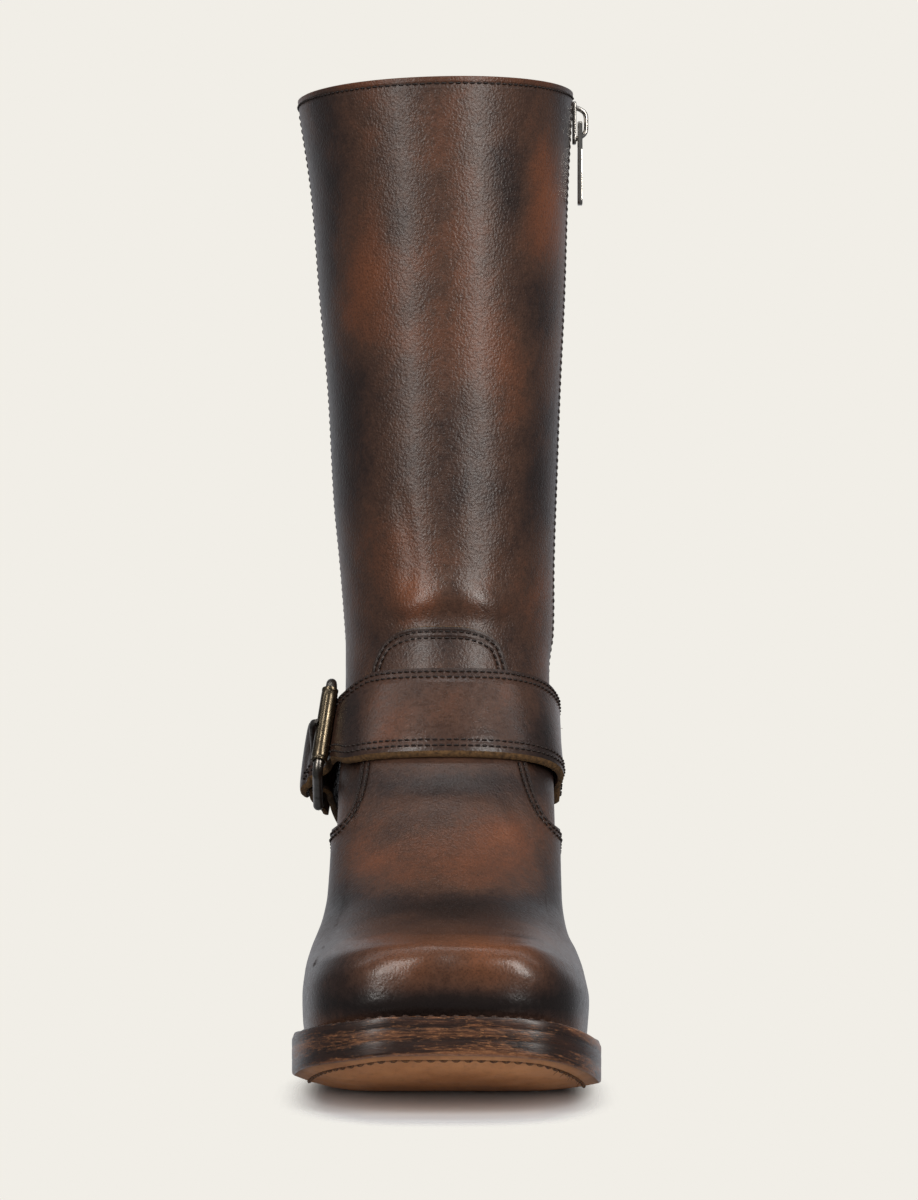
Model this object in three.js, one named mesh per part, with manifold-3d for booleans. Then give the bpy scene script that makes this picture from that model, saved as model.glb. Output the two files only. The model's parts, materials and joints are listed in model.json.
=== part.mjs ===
// A right-foot leather buckle boot with a side zip, in millimetres.
// +Z is up, the toe points to -Y and the inner (medial) side of the foot is +X.
// The origin is on the floor, under the middle of the heel.
import * as THREE from 'three';
import { mergeVertices } from 'three/addons/utils/BufferGeometryUtils.js';
import Module from 'manifold-3d';

const wasm = await Module();
wasm.setup();

// Driving dimensions of the last and the shaft
const FOOT_LENGTH = 272;
const HEEL_BACK = 30;
const BALL_WIDTH = 92;
const INSTEP_HEIGHT = 100;
const SHAFT_RISE = 200.4;
const COLLAR_WIDTH = 103;
const COLLAR_DEPTH = 132;
const SHAFT_CENTRE = -8;
const COLLAR_TILT = 0.03;

// Leather and clearances
const UPPER_WALL = 2.4;
const OVERLAY = 1.6;
const GAP = 0.3;

// Sole and heel
const HEEL_HEIGHT = 36.4;
const SEAT_SLOPE = 0.06;
const TOE_SPRING = 21;
const SPRING_POWER = 1.6;
const CROWN_OUTER = 3.4;
const CROWN_INNER = 1.8;
const CROWN_FLAT = 0.56;
const OUTSOLE_THICKNESS = 4.8;
const MIDSOLE_THICKNESS = 3.6;
const WELT_THICKNESS = 3.6;
const INSOLE_THICKNESS = 2.6;
const TOE_EXTENSION = 6.8;
const BALL_EXTENSION = 7.2;
const WAIST_EXTENSION = 4;
const HEEL_EXTENSION = 3.6;
const WELT_INNER_MARGIN = 8;
const TOP_PIECE_THICKNESS = 6.5;
const LIFT_THICKNESS = 6;
const SEAT_LIFT_LEAST = 4;
const HEEL_TAPER = 0.07;
const BREAST_LEAN = 0.08;

// Places along the foot, as shares of its length from the heel's back
const TREAD_FRONT = 0.74;
const TREAD_BACK = 0.65;
const BREAST = 0.255;
const BALL = 0.7;
const WAIST = 0.385;
const SEAT = 0.13;
const TAIL = 0.2;

// Sections of the foot. up is a share of INSTEP_HEIGHT above the sole; toe (the section's front),
// nose (where its front starts to round) and heel (how far its back stands out) are shares of
// FOOT_LENGTH; half widths at the ball, waist and seat, outer side then inner, are shares of
// BALL_WIDTH; square is the power of the front's rounding and round that of the back's.
const FOOT_SECTIONS = [
  {
    up: 0.0, toe: 0.991, nose: 0.7, ball: [0.485, 0.482],
    waist: [0.375, 0.32], seat: 0.33, heel: 0.0, square: 3.3, round: 2.3,
  },
  {
    up: 0.07, toe: 1.0, nose: 0.7, ball: [0.502, 0.49],
    waist: [0.395, 0.345], seat: 0.355, heel: 0.014, square: 3.2, round: 2.3,
  },
  {
    up: 0.14, toe: 1.0, nose: 0.695, ball: [0.505, 0.496],
    waist: [0.415, 0.375], seat: 0.37, heel: 0.022, square: 3.1, round: 2.3,
  },
  {
    up: 0.2, toe: 0.988, nose: 0.68, ball: [0.498, 0.482],
    waist: [0.425, 0.39], seat: 0.378, heel: 0.025, square: 2.9, round: 2.3,
  },
  {
    up: 0.25, toe: 0.947, nose: 0.65, ball: [0.48, 0.458],
    waist: [0.428, 0.4], seat: 0.383, heel: 0.025, square: 2.7, round: 2.3,
  },
  {
    up: 0.285, toe: 0.897, nose: 0.62, ball: [0.462, 0.432],
    waist: [0.426, 0.414], seat: 0.386, heel: 0.025, square: 2.55, round: 2.3,
  },
  {
    up: 0.315, toe: 0.846, nose: 0.585, ball: [0.448, 0.42],
    waist: [0.424, 0.415], seat: 0.387, heel: 0.025, square: 2.45, round: 2.3,
  },
  {
    up: 0.345, toe: 0.79, nose: 0.545, ball: [0.436, 0.412],
    waist: [0.424, 0.416], seat: 0.388, heel: 0.025, square: 2.35, round: 2.3,
  },
  {
    up: 0.398, toe: 0.7, nose: 0.48, ball: [0.43, 0.406],
    waist: [0.424, 0.417], seat: 0.389, heel: 0.023, square: 2.25, round: 2.3,
  },
  {
    up: 0.494, toe: 0.588, nose: 0.39, ball: [0.424, 0.412],
    waist: [0.422, 0.416], seat: 0.39, heel: 0.019, square: 2.15, round: 2.25,
  },
  {
    up: 0.6, toe: 0.495, nose: 0.31, ball: [0.42, 0.415],
    waist: [0.42, 0.416], seat: 0.394, heel: 0.013, square: 2.1, round: 2.2,
  },
  {
    up: 0.74, toe: 0.423, nose: 0.25, ball: [0.414, 0.418],
    waist: [0.414, 0.418], seat: 0.4, heel: 0.0125, square: 2.05, round: 2.15,
  },
  {
    up: 0.88, toe: 0.392, nose: 0.215, ball: [0.41, 0.422],
    waist: [0.41, 0.422], seat: 0.405, heel: 0.0165, square: 2.05, round: 2.1,
  },
];

// Sections of the shaft. up is a share of SHAFT_RISE above the instep; front and back are shares of
// COLLAR_DEPTH from the shaft's centre; half and lean (sideways shift) are shares of COLLAR_WIDTH.
const SHAFT_SECTIONS = [
  { up: 0.0, front: 0.49, back: 0.33, half: 0.375, lean: 0.008 },
  { up: 0.13, front: 0.474, back: 0.338, half: 0.387, lean: 0 },
  { up: 0.25, front: 0.47, back: 0.354, half: 0.402, lean: -0.007 },
  { up: 0.45, front: 0.47, back: 0.39, half: 0.42, lean: -0.01 },
  { up: 0.63, front: 0.476, back: 0.425, half: 0.444, lean: -0.017 },
  { up: 0.82, front: 0.487, back: 0.462, half: 0.465, lean: -0.026 },
  { up: 1.0, front: 0.5, back: 0.5, half: 0.5, lean: -0.042 },
];

// Edges of the vamp and the counter. across is the share of the way round from the toe's middle (or
// the heel's), up the height above the sole as a share of INSTEP_HEIGHT.
const VAMP_EDGE = [
  { across: 0.0, up: 1.05 },
  { across: 0.08, up: 1.045 },
  { across: 0.125, up: 1.01 },
  { across: 0.155, up: 0.93 },
  { across: 0.175, up: 0.8 },
  { across: 0.2, up: 0.66 },
  { across: 0.25, up: 0.56 },
  { across: 0.34, up: 0.46 },
  { across: 0.44, up: 0.385 },
  { across: 0.56, up: 0.325 },
  { across: 0.68, up: 0.3 },
  { across: 0.8, up: 0.29 },
];
const SIDE_SEAM = 0.8;
const COUNTER_EDGE = [
  { across: 0.0, up: 0.62 },
  { across: 0.06, up: 0.605 },
  { across: 0.12, up: 0.53 },
  { across: 0.17, up: 0.4 },
  { across: 0.2, up: 0.32 },
];

// Zip on the inner side
const ZIP_Y = -8;
const ZIP_DRIFT = 14;
const ZIP_SLOT = 7;
const ZIP_BOTTOM = 64;
const ZIP_TAPE_WIDTH = 24;
const ZIP_TAPE_THICKNESS = 0.8;
const ZIP_TAPE_MARGIN = 4;
const ZIP_CHAIN_WIDTH = 5;
const ZIP_CHAIN_THICKNESS = 1.8;
const SLIDER_DROP = 10.5;
const SLIDER_LENGTH = 16;
const SLIDER_WIDTH = 8.5;
const SLIDER_TAPER = 0.7;
const SLIDER_THICKNESS = 1.5;
const BRIDGE_LENGTH = 13.6;
const BRIDGE_REACH = 6.4;
const BRIDGE_WIRE = 1.8;
const BRIDGE_WIDTH = 2;
const PULL_LENGTH = 31.5;
const PULL_WIDTH = 6.4;
const PULL_THICKNESS = 1.8;
const PULL_WINDOW = 8.6;
const PULL_RIM = 1.5;

// Instep strap and buckle. A strap's height is where its middle line runs.
const STRAP_HEIGHT = 122.5;
const STRAP_FALL = 0.11;
const STRAP_FALL_GROWTH = 0.005;
const CHAPE_FALL = 0.35;
const STRAP_WIDTH = 37;
const BILLET_WIDTH = 27;
const STRAP_THICKNESS = 2.6;
const STRAP_CLEARANCE = 2.7;
const SEWN_TOP_CLEARANCE = 0.4;
const SEWN_BOTTOM_CLEARANCE = 1;
const BUCKLED_TOP_CLEARANCE = 1.2;
const BUCKLED_BOTTOM_CLEARANCE = 3.8;
const ANCHOR_CLEARANCE = 2.6;
const STRAP_START_Y = -42;
const ROLLER_Y = -60;
const BAR_Y = -34;
const BILLET_END_Y = -16;
const CHAPE_END_Y = 10;
const CHAPE_SEATED_Y = 4;
const STRAP_SIDE_Y = -50;
const CHAPE_WIDTH = 25;
const CHAPE_THICKNESS = 2.4;
const CHAPE_RETURN = 17;
const RETURN_RISE = 1.4;
const BUCKLE_WIRE = 1.9;
const BUCKLE_CORNER = 3.4;
const ROLLER_RADIUS = 3;
const ROLLER_LENGTH = 29.5;
const PRONG_THICKNESS = 2.2;
const PRONG_WIDTH = 3.4;
const PRONG_OVERRUN = 2.6;
const PRONG_ROOM = 1;
const PRONG_SLOT_START = 19;
const PRONG_EYE_WALL = 1.8;
const PRONG_TIP = 0.6;
const ROLLER_BORE_ROOM = 0.4;
const SQUARING_START = 6;
const SQUARING_END = 5;
const BILLET_RISE_START = 1;
const BILLET_RISE_END = 7;

// How far a cutting tool reaches past what it cuts
const CUT_OVERRUN = 1;

// Mesh fineness
const AROUND = 38;
const AROUND_BIAS = 0.36;
const LEVELS_UP = 19;
const OUTLINE_STEPS = 120;
const RUNG_COUNT = 28;
const OUTLINE_COUNT = 240;
const TIP_SHARE = 0.0006;
const PLATE_COLUMNS = [0, 0.12, 0.26, 0.74, 0.88, 1];
const STRAP_STEPS = 32;
const INSOLE_RUNGS = 22;
const INSOLE_COLUMNS = [0, 0.2, 0.8, 1];
const WIRE_SIDES = 8;
const HEEL_RUNGS = 14;
const ZIP_STEPS = 12;
const PATCH_ROWS = 14;
const VAMP_COLUMNS = 18;
const COUNTER_COLUMNS = 7;
const LEAF_STEPS = 7;
const FOLD_STEPS = 6;
const CORNER_STEPS = 3;
const EYE_STEPS = 12;
const NUDGE_U = 0.004;
const NUDGE_LEVEL = 0.6;

const clamp = (t, low = 0, high = 1) => Math.min(high, Math.max(low, t));
const ease = (t) => clamp(t) ** 2 * (3 - 2 * clamp(t));
const mix = (a, b, t) => a + (b - a) * t;
const vec = (x, y, z) => new THREE.Vector3(x, y, z);
const along = (share) => HEEL_BACK - share * FOOT_LENGTH;

// A smooth curve through a table's column that never overshoots between its rows.
function curve(rows, key, read) {
  const x = rows.map((row) => row[key]);
  const y = rows.map(read);
  const rise = x.slice(1).map((v, i) => (y[i + 1] - y[i]) / (v - x[i]));
  const slope = x.map((_, i) => {
    if (i === 0) return rise[0];
    if (i === rise.length) return rise[i - 1];
    const [a, b] = [rise[i - 1], rise[i]];
    return a * b <= 0 ? 0 : (2 * a * b) / (a + b);
  });
  return (v) => {
    const at = clamp(v, x[0], x[x.length - 1]);
    let i = 0;
    while (i < rise.length - 1 && at > x[i + 1]) i += 1;
    const step = x[i + 1] - x[i];
    const t = (at - x[i]) / step;
    const start = y[i] * (1 + 2 * t) * (1 - t) ** 2 + y[i + 1] * t * t * (3 - 2 * t);
    return start + step * (slope[i] * t * (1 - t) ** 2 - slope[i + 1] * t * t * (1 - t));
  };
}

// Sole profile: the underside's height along the foot, with the crown across it
const INSOLE_MARGIN = 4 * GAP;
const INSOLE_LIFT = 2 * GAP;
const SOLE_STACK = OUTSOLE_THICKNESS + MIDSOLE_THICKNESS + WELT_THICKNESS + 2 * GAP;
const treadFront = along(TREAD_FRONT);
const treadBack = along(TREAD_BACK);
const breast = along(BREAST);
const toeEnd = along(1) - TOE_EXTENSION;

function bottomAt(y) {
  if (y < treadFront) {
    return TOE_SPRING * ((treadFront - y) / (treadFront - toeEnd)) ** SPRING_POWER;
  }
  if (y <= treadBack) return 0;
  if (y >= breast) return HEEL_HEIGHT + SEAT_SLOPE * (y - breast);
  const t = (y - treadBack) / (breast - treadBack);
  return HEEL_HEIGHT * ease(t) + SEAT_SLOPE * (breast - treadBack) * t * t * (t - 1);
}

function crownAt(x, y) {
  const forward = 1 - ease((y - along(BALL)) / (along(WAIST) - along(BALL)));
  const beyond = Math.max(0, Math.abs(x) / (BALL_WIDTH / 2) - CROWN_FLAT) / (1 - CROWN_FLAT);
  return (x < 0 ? CROWN_OUTER : CROWN_INNER) * forward * beyond ** 2;
}

const undersideAt = (x, y) => bottomAt(y) + crownAt(x, y);
const soleTopAt = (x, y) => undersideAt(x, y) + SOLE_STACK;
const seatLevel = bottomAt(0) + SOLE_STACK;
const topLevel = INSTEP_HEIGHT + SHAFT_RISE;

// One table of sections in millimetres, from the foot's shares and the shaft's
const sections = [
  ...FOOT_SECTIONS.map((row) => ({
    level: row.up * INSTEP_HEIGHT,
    front: along(row.toe),
    back: HEEL_BACK + row.heel * FOOT_LENGTH,
    nose: along(row.nose),
    tail: along(TAIL),
    ball: row.ball.map((share) => share * BALL_WIDTH),
    waist: row.waist.map((share) => share * BALL_WIDTH),
    seat: row.seat * BALL_WIDTH,
    lean: 0,
    square: row.square,
    round: row.round,
  })),
  ...SHAFT_SECTIONS.map((row) => {
    const front = SHAFT_CENTRE - row.front * COLLAR_DEPTH;
    const back = SHAFT_CENTRE + row.back * COLLAR_DEPTH;
    const half = row.half * COLLAR_WIDTH;
    return {
      level: INSTEP_HEIGHT + row.up * SHAFT_RISE,
      front,
      back,
      nose: (front + back) / 2,
      tail: (front + back) / 2,
      ball: [half, half],
      waist: [half, half],
      seat: half,
      lean: row.lean * COLLAR_WIDTH,
      square: 2.05,
      round: 2.1,
    };
  }),
];

const sectionCurves = Object.fromEntries(
  ['front', 'back', 'nose', 'tail', 'seat', 'lean', 'square', 'round'].map((name) => [
    name,
    curve(sections, 'level', (row) => row[name]),
  ]),
);
const ballCurves = [0, 1].map((side) => curve(sections, 'level', (row) => row.ball[side]));
const waistCurves = [0, 1].map((side) => curve(sections, 'level', (row) => row.waist[side]));

const rounding = (t, power) => (1 - clamp(t) ** power) ** (1 / power);

function halfWidth(level, y, side) {
  const at = (name) => sectionCurves[name](level);
  const ballY = along(BALL);
  const waistY = along(WAIST);
  const base =
    y < waistY
      ? mix(ballCurves[side](level), waistCurves[side](level), ease((y - ballY) / (waistY - ballY)))
      : mix(waistCurves[side](level), at('seat'), ease((y - waistY) / (along(SEAT) - waistY)));
  const nose = rounding((at('nose') - y) / (at('nose') - at('front')), at('square'));
  const tail = rounding((y - at('tail')) / (at('back') - at('tail')), at('round'));
  return base * nose * tail;
}

// A section's outline: points from the heel round the inner side to the toe and back outside,
// at equal shares of each side's length.
const outlines = new Map();
function outlineAt(level) {
  if (outlines.has(level)) return outlines.get(level);
  const front = sectionCurves.front(level);
  const back = sectionCurves.back(level);
  const lean = sectionCurves.lean(level);
  const sides = [1, 0].map((side) => {
    const sign = side === 1 ? 1 : -1;
    const points = [];
    for (let i = 0; i <= OUTLINE_STEPS; i += 1) {
      const y = mix(back, front, (1 - Math.cos((Math.PI * i) / OUTLINE_STEPS)) / 2);
      points.push(new THREE.Vector2(lean + sign * halfWidth(level, y, side), y));
    }
    const lengths = [0];
    points.slice(1).forEach((p, i) => lengths.push(lengths[i] + p.distanceTo(points[i])));
    return { points, lengths };
  });
  outlines.set(level, sides);
  return sides;
}

// u runs from 0 at the heel's middle, over 0.25 on the inner side, 0.5 at the toe and 0.75 outside.
function flatPoint(u, level) {
  const turn = u - Math.floor(u);
  const [inner, outer] = outlineAt(level);
  const side = turn <= 0.5 ? inner : outer;
  const share = turn <= 0.5 ? turn * 2 : (1 - turn) * 2;
  const target = share * side.lengths[OUTLINE_STEPS];
  let low = 0;
  let high = OUTLINE_STEPS;
  while (high - low > 1) {
    const middle = (low + high) >> 1;
    if (side.lengths[middle] < target) low = middle;
    else high = middle;
  }
  const t = (target - side.lengths[low]) / (side.lengths[high] - side.lengths[low]);
  return side.points[low].clone().lerp(side.points[high], t);
}

function surface(u, level) {
  const flat = flatPoint(u, level);
  const lift = mix(soleTopAt(flat.x, flat.y), seatLevel, ease(level / INSTEP_HEIGHT));
  const tilt = COLLAR_TILT * (flat.x - sectionCurves.lean(topLevel)) * (level / topLevel) ** 3;
  return vec(flat.x, flat.y, level + lift + tilt);
}

// The boot's outward direction, from small steps up and along the outline.
function normalAt(u, level) {
  const across = surface(u + NUDGE_U, level).sub(surface(u - NUDGE_U, level));
  const high = Math.min(level + NUDGE_LEVEL, topLevel);
  const low = Math.max(level - NUDGE_LEVEL, 0);
  const upward = surface(u, high).sub(surface(u, low));
  return upward.cross(across).normalize();
}

// A point on the boot's outside at a distance from it, kept clear of the sole.
function offsetPoint(u, level, distance) {
  const p = surface(u, level).addScaledVector(normalAt(u, level), distance);
  p.z = Math.max(p.z, soleTopAt(p.x, p.y) + GAP);
  return p;
}

// Solids

// A closed solid between two grids of points, open grids or ones that run right round.
function slab(front, back, closed = false) {
  const rows = front.length;
  const columns = front[0].length;
  const positions = [...front.flat(), ...back.flat()].flatMap((p) => [p.x, p.y, p.z]);
  const index = [];
  const corner = (row, column, face) => (face * rows + row) * columns + (column % columns);
  // Each corner of a quad is named by its row, its column and its face.
  const quad = (...corners) => {
    const [a, b, c, d] = corners.map((place) => corner(...place));
    index.push(a, b, c, a, c, d);
  };
  const lastRow = rows - 1;
  const lastColumn = closed ? columns : columns - 1;
  for (let r = 0; r < lastRow; r += 1) {
    for (let c = 0; c < lastColumn; c += 1) {
      quad([r, c, 0], [r, c + 1, 0], [r + 1, c + 1, 0], [r + 1, c, 0]);
      quad([r, c, 1], [r + 1, c, 1], [r + 1, c + 1, 1], [r, c + 1, 1]);
    }
  }
  for (let c = 0; c < lastColumn; c += 1) {
    quad([0, c, 0], [0, c, 1], [0, c + 1, 1], [0, c + 1, 0]);
    quad([lastRow, c + 1, 0], [lastRow, c + 1, 1], [lastRow, c, 1], [lastRow, c, 0]);
  }
  for (let r = 0; r < lastRow && !closed; r += 1) {
    quad([r, 0, 0], [r + 1, 0, 0], [r + 1, 0, 1], [r, 0, 1]);
    quad([r, lastColumn, 0], [r, lastColumn, 1], [r + 1, lastColumn, 1], [r + 1, lastColumn, 0]);
  }
  return facingOut(positions, index);
}

function facingOut(positions, index) {
  const corner = (i) => vec(positions[3 * i], positions[3 * i + 1], positions[3 * i + 2]);
  let volume = 0;
  for (let i = 0; i < index.length; i += 3) {
    const [a, b, c] = [corner(index[i]), corner(index[i + 1]), corner(index[i + 2])];
    volume += a.dot(b.cross(c));
  }
  const faces = volume < 0 ? index.slice().reverse() : index;
  return new THREE.BufferGeometry()
    .setAttribute('position', new THREE.Float32BufferAttribute(positions, 3))
    .setIndex(faces);
}

// A closed ring of wire through points in one plane.
function wireRing(points, planeNormal, radius, sides) {
  const positions = [];
  const index = [];
  points.forEach((p, i) => {
    const next = points[(i + 1) % points.length];
    const last = points[(i + points.length - 1) % points.length];
    const outward = next.clone().sub(last).cross(planeNormal).normalize();
    for (let k = 0; k < sides; k += 1) {
      const angle = (2 * Math.PI * k) / sides;
      const corner = p
        .clone()
        .addScaledVector(outward, radius * Math.cos(angle))
        .addScaledVector(planeNormal, radius * Math.sin(angle));
      positions.push(corner.x, corner.y, corner.z);
      const a = i * sides + k;
      const b = i * sides + ((k + 1) % sides);
      const c = ((i + 1) % points.length) * sides + ((k + 1) % sides);
      const d = ((i + 1) % points.length) * sides + k;
      index.push(a, b, c, a, c, d);
    }
  });
  return facingOut(positions, index);
}

// An upright or placed prism over a flat outline.
function prism(outline, low, high, matrix = new THREE.Matrix4()) {
  const shape = new THREE.Shape(outline.map(([x, y]) => new THREE.Vector2(x, y)));
  const geometry = new THREE.ExtrudeGeometry(shape, { depth: high - low, bevelEnabled: false });
  return toSolid(geometry.translate(0, 0, low), matrix);
}

function toSolid(geometry, matrix = new THREE.Matrix4()) {
  const bare = geometry.index ? geometry.toNonIndexed() : geometry.clone();
  bare.deleteAttribute('normal');
  bare.deleteAttribute('uv');
  bare.applyMatrix4(matrix);
  const merged = mergeVertices(bare, 1e-3);
  return new wasm.Manifold(
    new wasm.Mesh({
      numProp: 3,
      vertProperties: merged.attributes.position.array,
      triVerts: new Uint32Array(merged.index.array),
    }),
  );
}

function toGeometry(solid) {
  const mesh = solid.getMesh();
  return new THREE.BufferGeometry()
    .setAttribute('position', new THREE.BufferAttribute(new Float32Array(mesh.vertProperties), 3))
    .setIndex(new THREE.BufferAttribute(new Uint32Array(mesh.triVerts), 1));
}

const boot = new THREE.Group();
const leather = new THREE.MeshStandardMaterial({ color: 0x4a2a1c, roughness: 0.45 });
const edgeLeather = new THREE.MeshStandardMaterial({ color: 0x3a221a, roughness: 0.5 });
const soleLeather = new THREE.MeshStandardMaterial({ color: 0xb98052, roughness: 0.6 });
const rubber = new THREE.MeshStandardMaterial({ color: 0x1c1a19, roughness: 0.8 });
const lining = new THREE.MeshStandardMaterial({ color: 0x9a7350, roughness: 0.8 });
const tape = new THREE.MeshStandardMaterial({ color: 0x1d1714, roughness: 0.9 });
const steel = new THREE.MeshStandardMaterial({ color: 0x8d867c, roughness: 0.3, metalness: 1 });

function add(name, geometry, material, group = boot) {
  const mesh = new THREE.Mesh(geometry, material);
  mesh.name = name;
  group.add(mesh);
  return mesh;
}

// Sole

// How far the sole's edge stands out from the upper, by the place along the foot.
function extensionAt(y) {
  if (y < along(BALL)) {
    return mix(BALL_EXTENSION, TOE_EXTENSION, ease((along(BALL) - y) / (along(BALL) - along(1))));
  }
  if (y < along(WAIST)) {
    return mix(BALL_EXTENSION, WAIST_EXTENSION, ease((y - along(BALL)) / (along(WAIST) - along(BALL))));
  }
  return mix(WAIST_EXTENSION, HEEL_EXTENSION, ease((y - along(WAIST)) / (along(SEAT) - along(WAIST))));
}

// The upper's outline at the sole, moved outwards (or in, where the distance is negative).
function soleOutline(distanceAt, count) {
  const points = [];
  for (let i = 0; i < count; i += 1) {
    const u = i / count;
    const here = flatPoint(u, 0);
    const ahead = flatPoint(u + NUDGE_U, 0).sub(flatPoint(u - NUDGE_U, 0)).normalize();
    const distance = distanceAt(here.y);
    points.push(new THREE.Vector2(here.x + ahead.y * -distance, here.y + ahead.x * distance));
  }
  return points;
}

// The outline's two sides as widths over stations that crowd towards rounded ends.
function rungs(distanceAt, count = RUNG_COUNT, front = null) {
  const outline = soleOutline(distanceAt, OUTLINE_COUNT);
  const half = OUTLINE_COUNT / 2;
  const inner = outline.slice(0, half + 1);
  const outer = [outline[0], ...outline.slice(half).reverse()];
  const widthAt = (side, y) => {
    let i = 0;
    while (i < side.length - 2 && side[i + 1].y > y) i += 1;
    const t = clamp((side[i].y - y) / (side[i].y - side[i + 1].y));
    return mix(side[i].x, side[i + 1].x, t);
  };
  const last = front === null ? outline[half].y : front;
  return Array.from({ length: count + 1 }, (_, i) => {
    const bothRound = mix(TIP_SHARE, 1 - TIP_SHARE, (1 - Math.cos((Math.PI * i) / count)) / 2);
    const oneRound = mix(TIP_SHARE, 1, 1 - Math.cos((Math.PI * i) / count / 2));
    const y = mix(outline[0].y, last, front === null ? bothRound : oneRound);
    return { y, inner: widthAt(inner, y), outer: widthAt(outer, y) };
  });
}

function plate(list, bottom, top, columns = PLATE_COLUMNS) {
  const grid = (heightAt) =>
    list.map((rung) =>
      columns.map((share) => {
        const x = mix(rung.outer, rung.inner, share);
        return vec(x, rung.y, heightAt(x, rung.y));
      }),
    );
  return slab(grid(top), grid(bottom));
}

const midsoleBottom = OUTSOLE_THICKNESS + GAP;
const weltBottom = midsoleBottom + MIDSOLE_THICKNESS + GAP;

const soleLayer = (height) => (x, y) => undersideAt(x, y) + height;
const soleRungs = rungs(extensionAt);
// What stands on the sole is cut to its top, with the gap.
const soleSpace = toSolid(plate(soleRungs, soleLayer(-OUTSOLE_THICKNESS), soleLayer(SOLE_STACK + GAP)));

function addSole() {
  add('outsole', plate(soleRungs, soleLayer(0), soleLayer(OUTSOLE_THICKNESS)), soleLeather);
  const midsole = plate(soleRungs, soleLayer(midsoleBottom), soleLayer(midsoleBottom + MIDSOLE_THICKNESS));
  add('midsole', midsole, edgeLeather);

  // The welt is a ring: the same plate with its middle cut away.
  const whole = toSolid(plate(soleRungs, soleLayer(weltBottom), soleLayer(weltBottom + WELT_THICKNESS)));
  const middle = soleOutline(() => -WELT_INNER_MARGIN, AROUND).map((p) => [p.x, p.y]);
  const core = prism(middle, -1, HEEL_HEIGHT + 2 * SOLE_STACK);
  add('welt', toGeometry(whole.subtract(core)), edgeLeather);

  const insoleRungs = rungs(() => -(UPPER_WALL + INSOLE_MARGIN), INSOLE_RUNGS);
  const insoleBottom = (x, y) => soleTopAt(x, y) + INSOLE_LIFT;
  const insoleTop = (x, y) => insoleBottom(x, y) + INSOLE_THICKNESS;
  add('insole', plate(insoleRungs, insoleBottom, insoleTop, INSOLE_COLUMNS), lining);
}

// The heel is a stack of flat lifts on a rubber top piece, and a seat lift cut to the sole.
function addHeel() {
  const liftCount = Math.floor((HEEL_HEIGHT - TOP_PIECE_THICKNESS - SEAT_LIFT_LEAST) / LIFT_THICKNESS);
  const outline = (z) => {
    const drawn = HEEL_TAPER * (HEEL_HEIGHT - z);
    const face = breast + BREAST_LEAN * (HEEL_HEIGHT - z);
    return rungs((y) => extensionAt(y) - drawn, HEEL_RUNGS, face);
  };
  const face = (z, heightAt = () => z) =>
    outline(z).map((rung) => [rung.outer, rung.inner].map((x) => vec(x, rung.y, heightAt(rung.y))));
  const lift = (low, high) => slab(face(high), face(low));
  add('heel_top_piece', lift(0, TOP_PIECE_THICKNESS), rubber);
  for (let i = 0; i < liftCount; i += 1) {
    const low = TOP_PIECE_THICKNESS + i * LIFT_THICKNESS;
    add(`heel_lift_${i + 1}`, lift(low, low + LIFT_THICKNESS), edgeLeather);
  }
  const seatLow = TOP_PIECE_THICKNESS + liftCount * LIFT_THICKNESS;
  const seatSurface = (y) => bottomAt(y) - GAP;
  add('heel_seat_lift', slab(face(HEEL_HEIGHT, seatSurface), face(seatLow)), edgeLeather);
}

// Upper

// Levels closer together over the toe and the vamp, and wider up the shaft.
const levelAt = curve(
  [
    { step: 0, level: 0 },
    { step: 0.36, level: 0.34 * INSTEP_HEIGHT },
    { step: 0.68, level: INSTEP_HEIGHT },
    { step: 1, level: topLevel },
  ],
  'step',
  (row) => row.level,
);

// Where a section's side passes a given place along the foot.
function turnAt(level, y, inner) {
  let low = 0;
  let high = 0.5;
  for (let i = 0; i < 20; i += 1) {
    const middle = (low + high) / 2;
    if (flatPoint(inner ? middle : 1 - middle, level).y > y) low = middle;
    else high = middle;
  }
  return inner ? low : 1 - low;
}

const turnLength = (level) => {
  const [inner, outer] = outlineAt(level);
  return inner.lengths[OUTLINE_STEPS] + outer.lengths[OUTLINE_STEPS];
};

// Columns crowd towards the toe and the heel, where the outline curves most.
const columnTurn = (k) => {
  const share = k / AROUND;
  return share - (AROUND_BIAS * Math.sin(4 * Math.PI * share)) / (4 * Math.PI);
};
const levels = Array.from({ length: LEVELS_UP + 1 }, (_, i) => levelAt(i / LEVELS_UP));

// Rings of points round the boot at a distance from its outside, from the sole up.
function ringsAt(distance, count = levels.length) {
  return levels.slice(0, count).map((level, i) =>
    Array.from({ length: AROUND }, (_, k) => {
      const p = offsetPoint(columnTurn(k), level, distance);
      if (i === 0) p.z = soleTopAt(p.x, p.y) - GAP;
      if (i === LEVELS_UP) p.z = surface(columnTurn(k), level).z;
      return p;
    }),
  );
}

// A skin that follows the boot between two distances from its outside.
function skin(inside, outside, count) {
  const shell = toSolid(slab(ringsAt(outside, count), ringsAt(inside, count), true));
  return shell.subtract(soleSpace);
}

const zipTurn = (level) => turnAt(level, ZIP_Y - ZIP_DRIFT * (1 - level / topLevel), true);

// A strip up the zip's line, between two levels and two distances from the boot's outside.
function zipStrip(width, low, high, inside, outside) {
  const grid = (distance) =>
    Array.from({ length: ZIP_STEPS + 1 }, (_, i) => {
      const level = mix(low, high, i / ZIP_STEPS);
      const middle = zipTurn(level);
      const reach = width / turnLength(level) / 2;
      return [-1, 0, 1].map((side) => {
        const p = offsetPoint(middle + side * reach, Math.min(level, topLevel), distance);
        p.z += Math.max(0, level - topLevel);
        return p;
      });
    });
  return slab(grid(outside), grid(inside));
}

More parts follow.
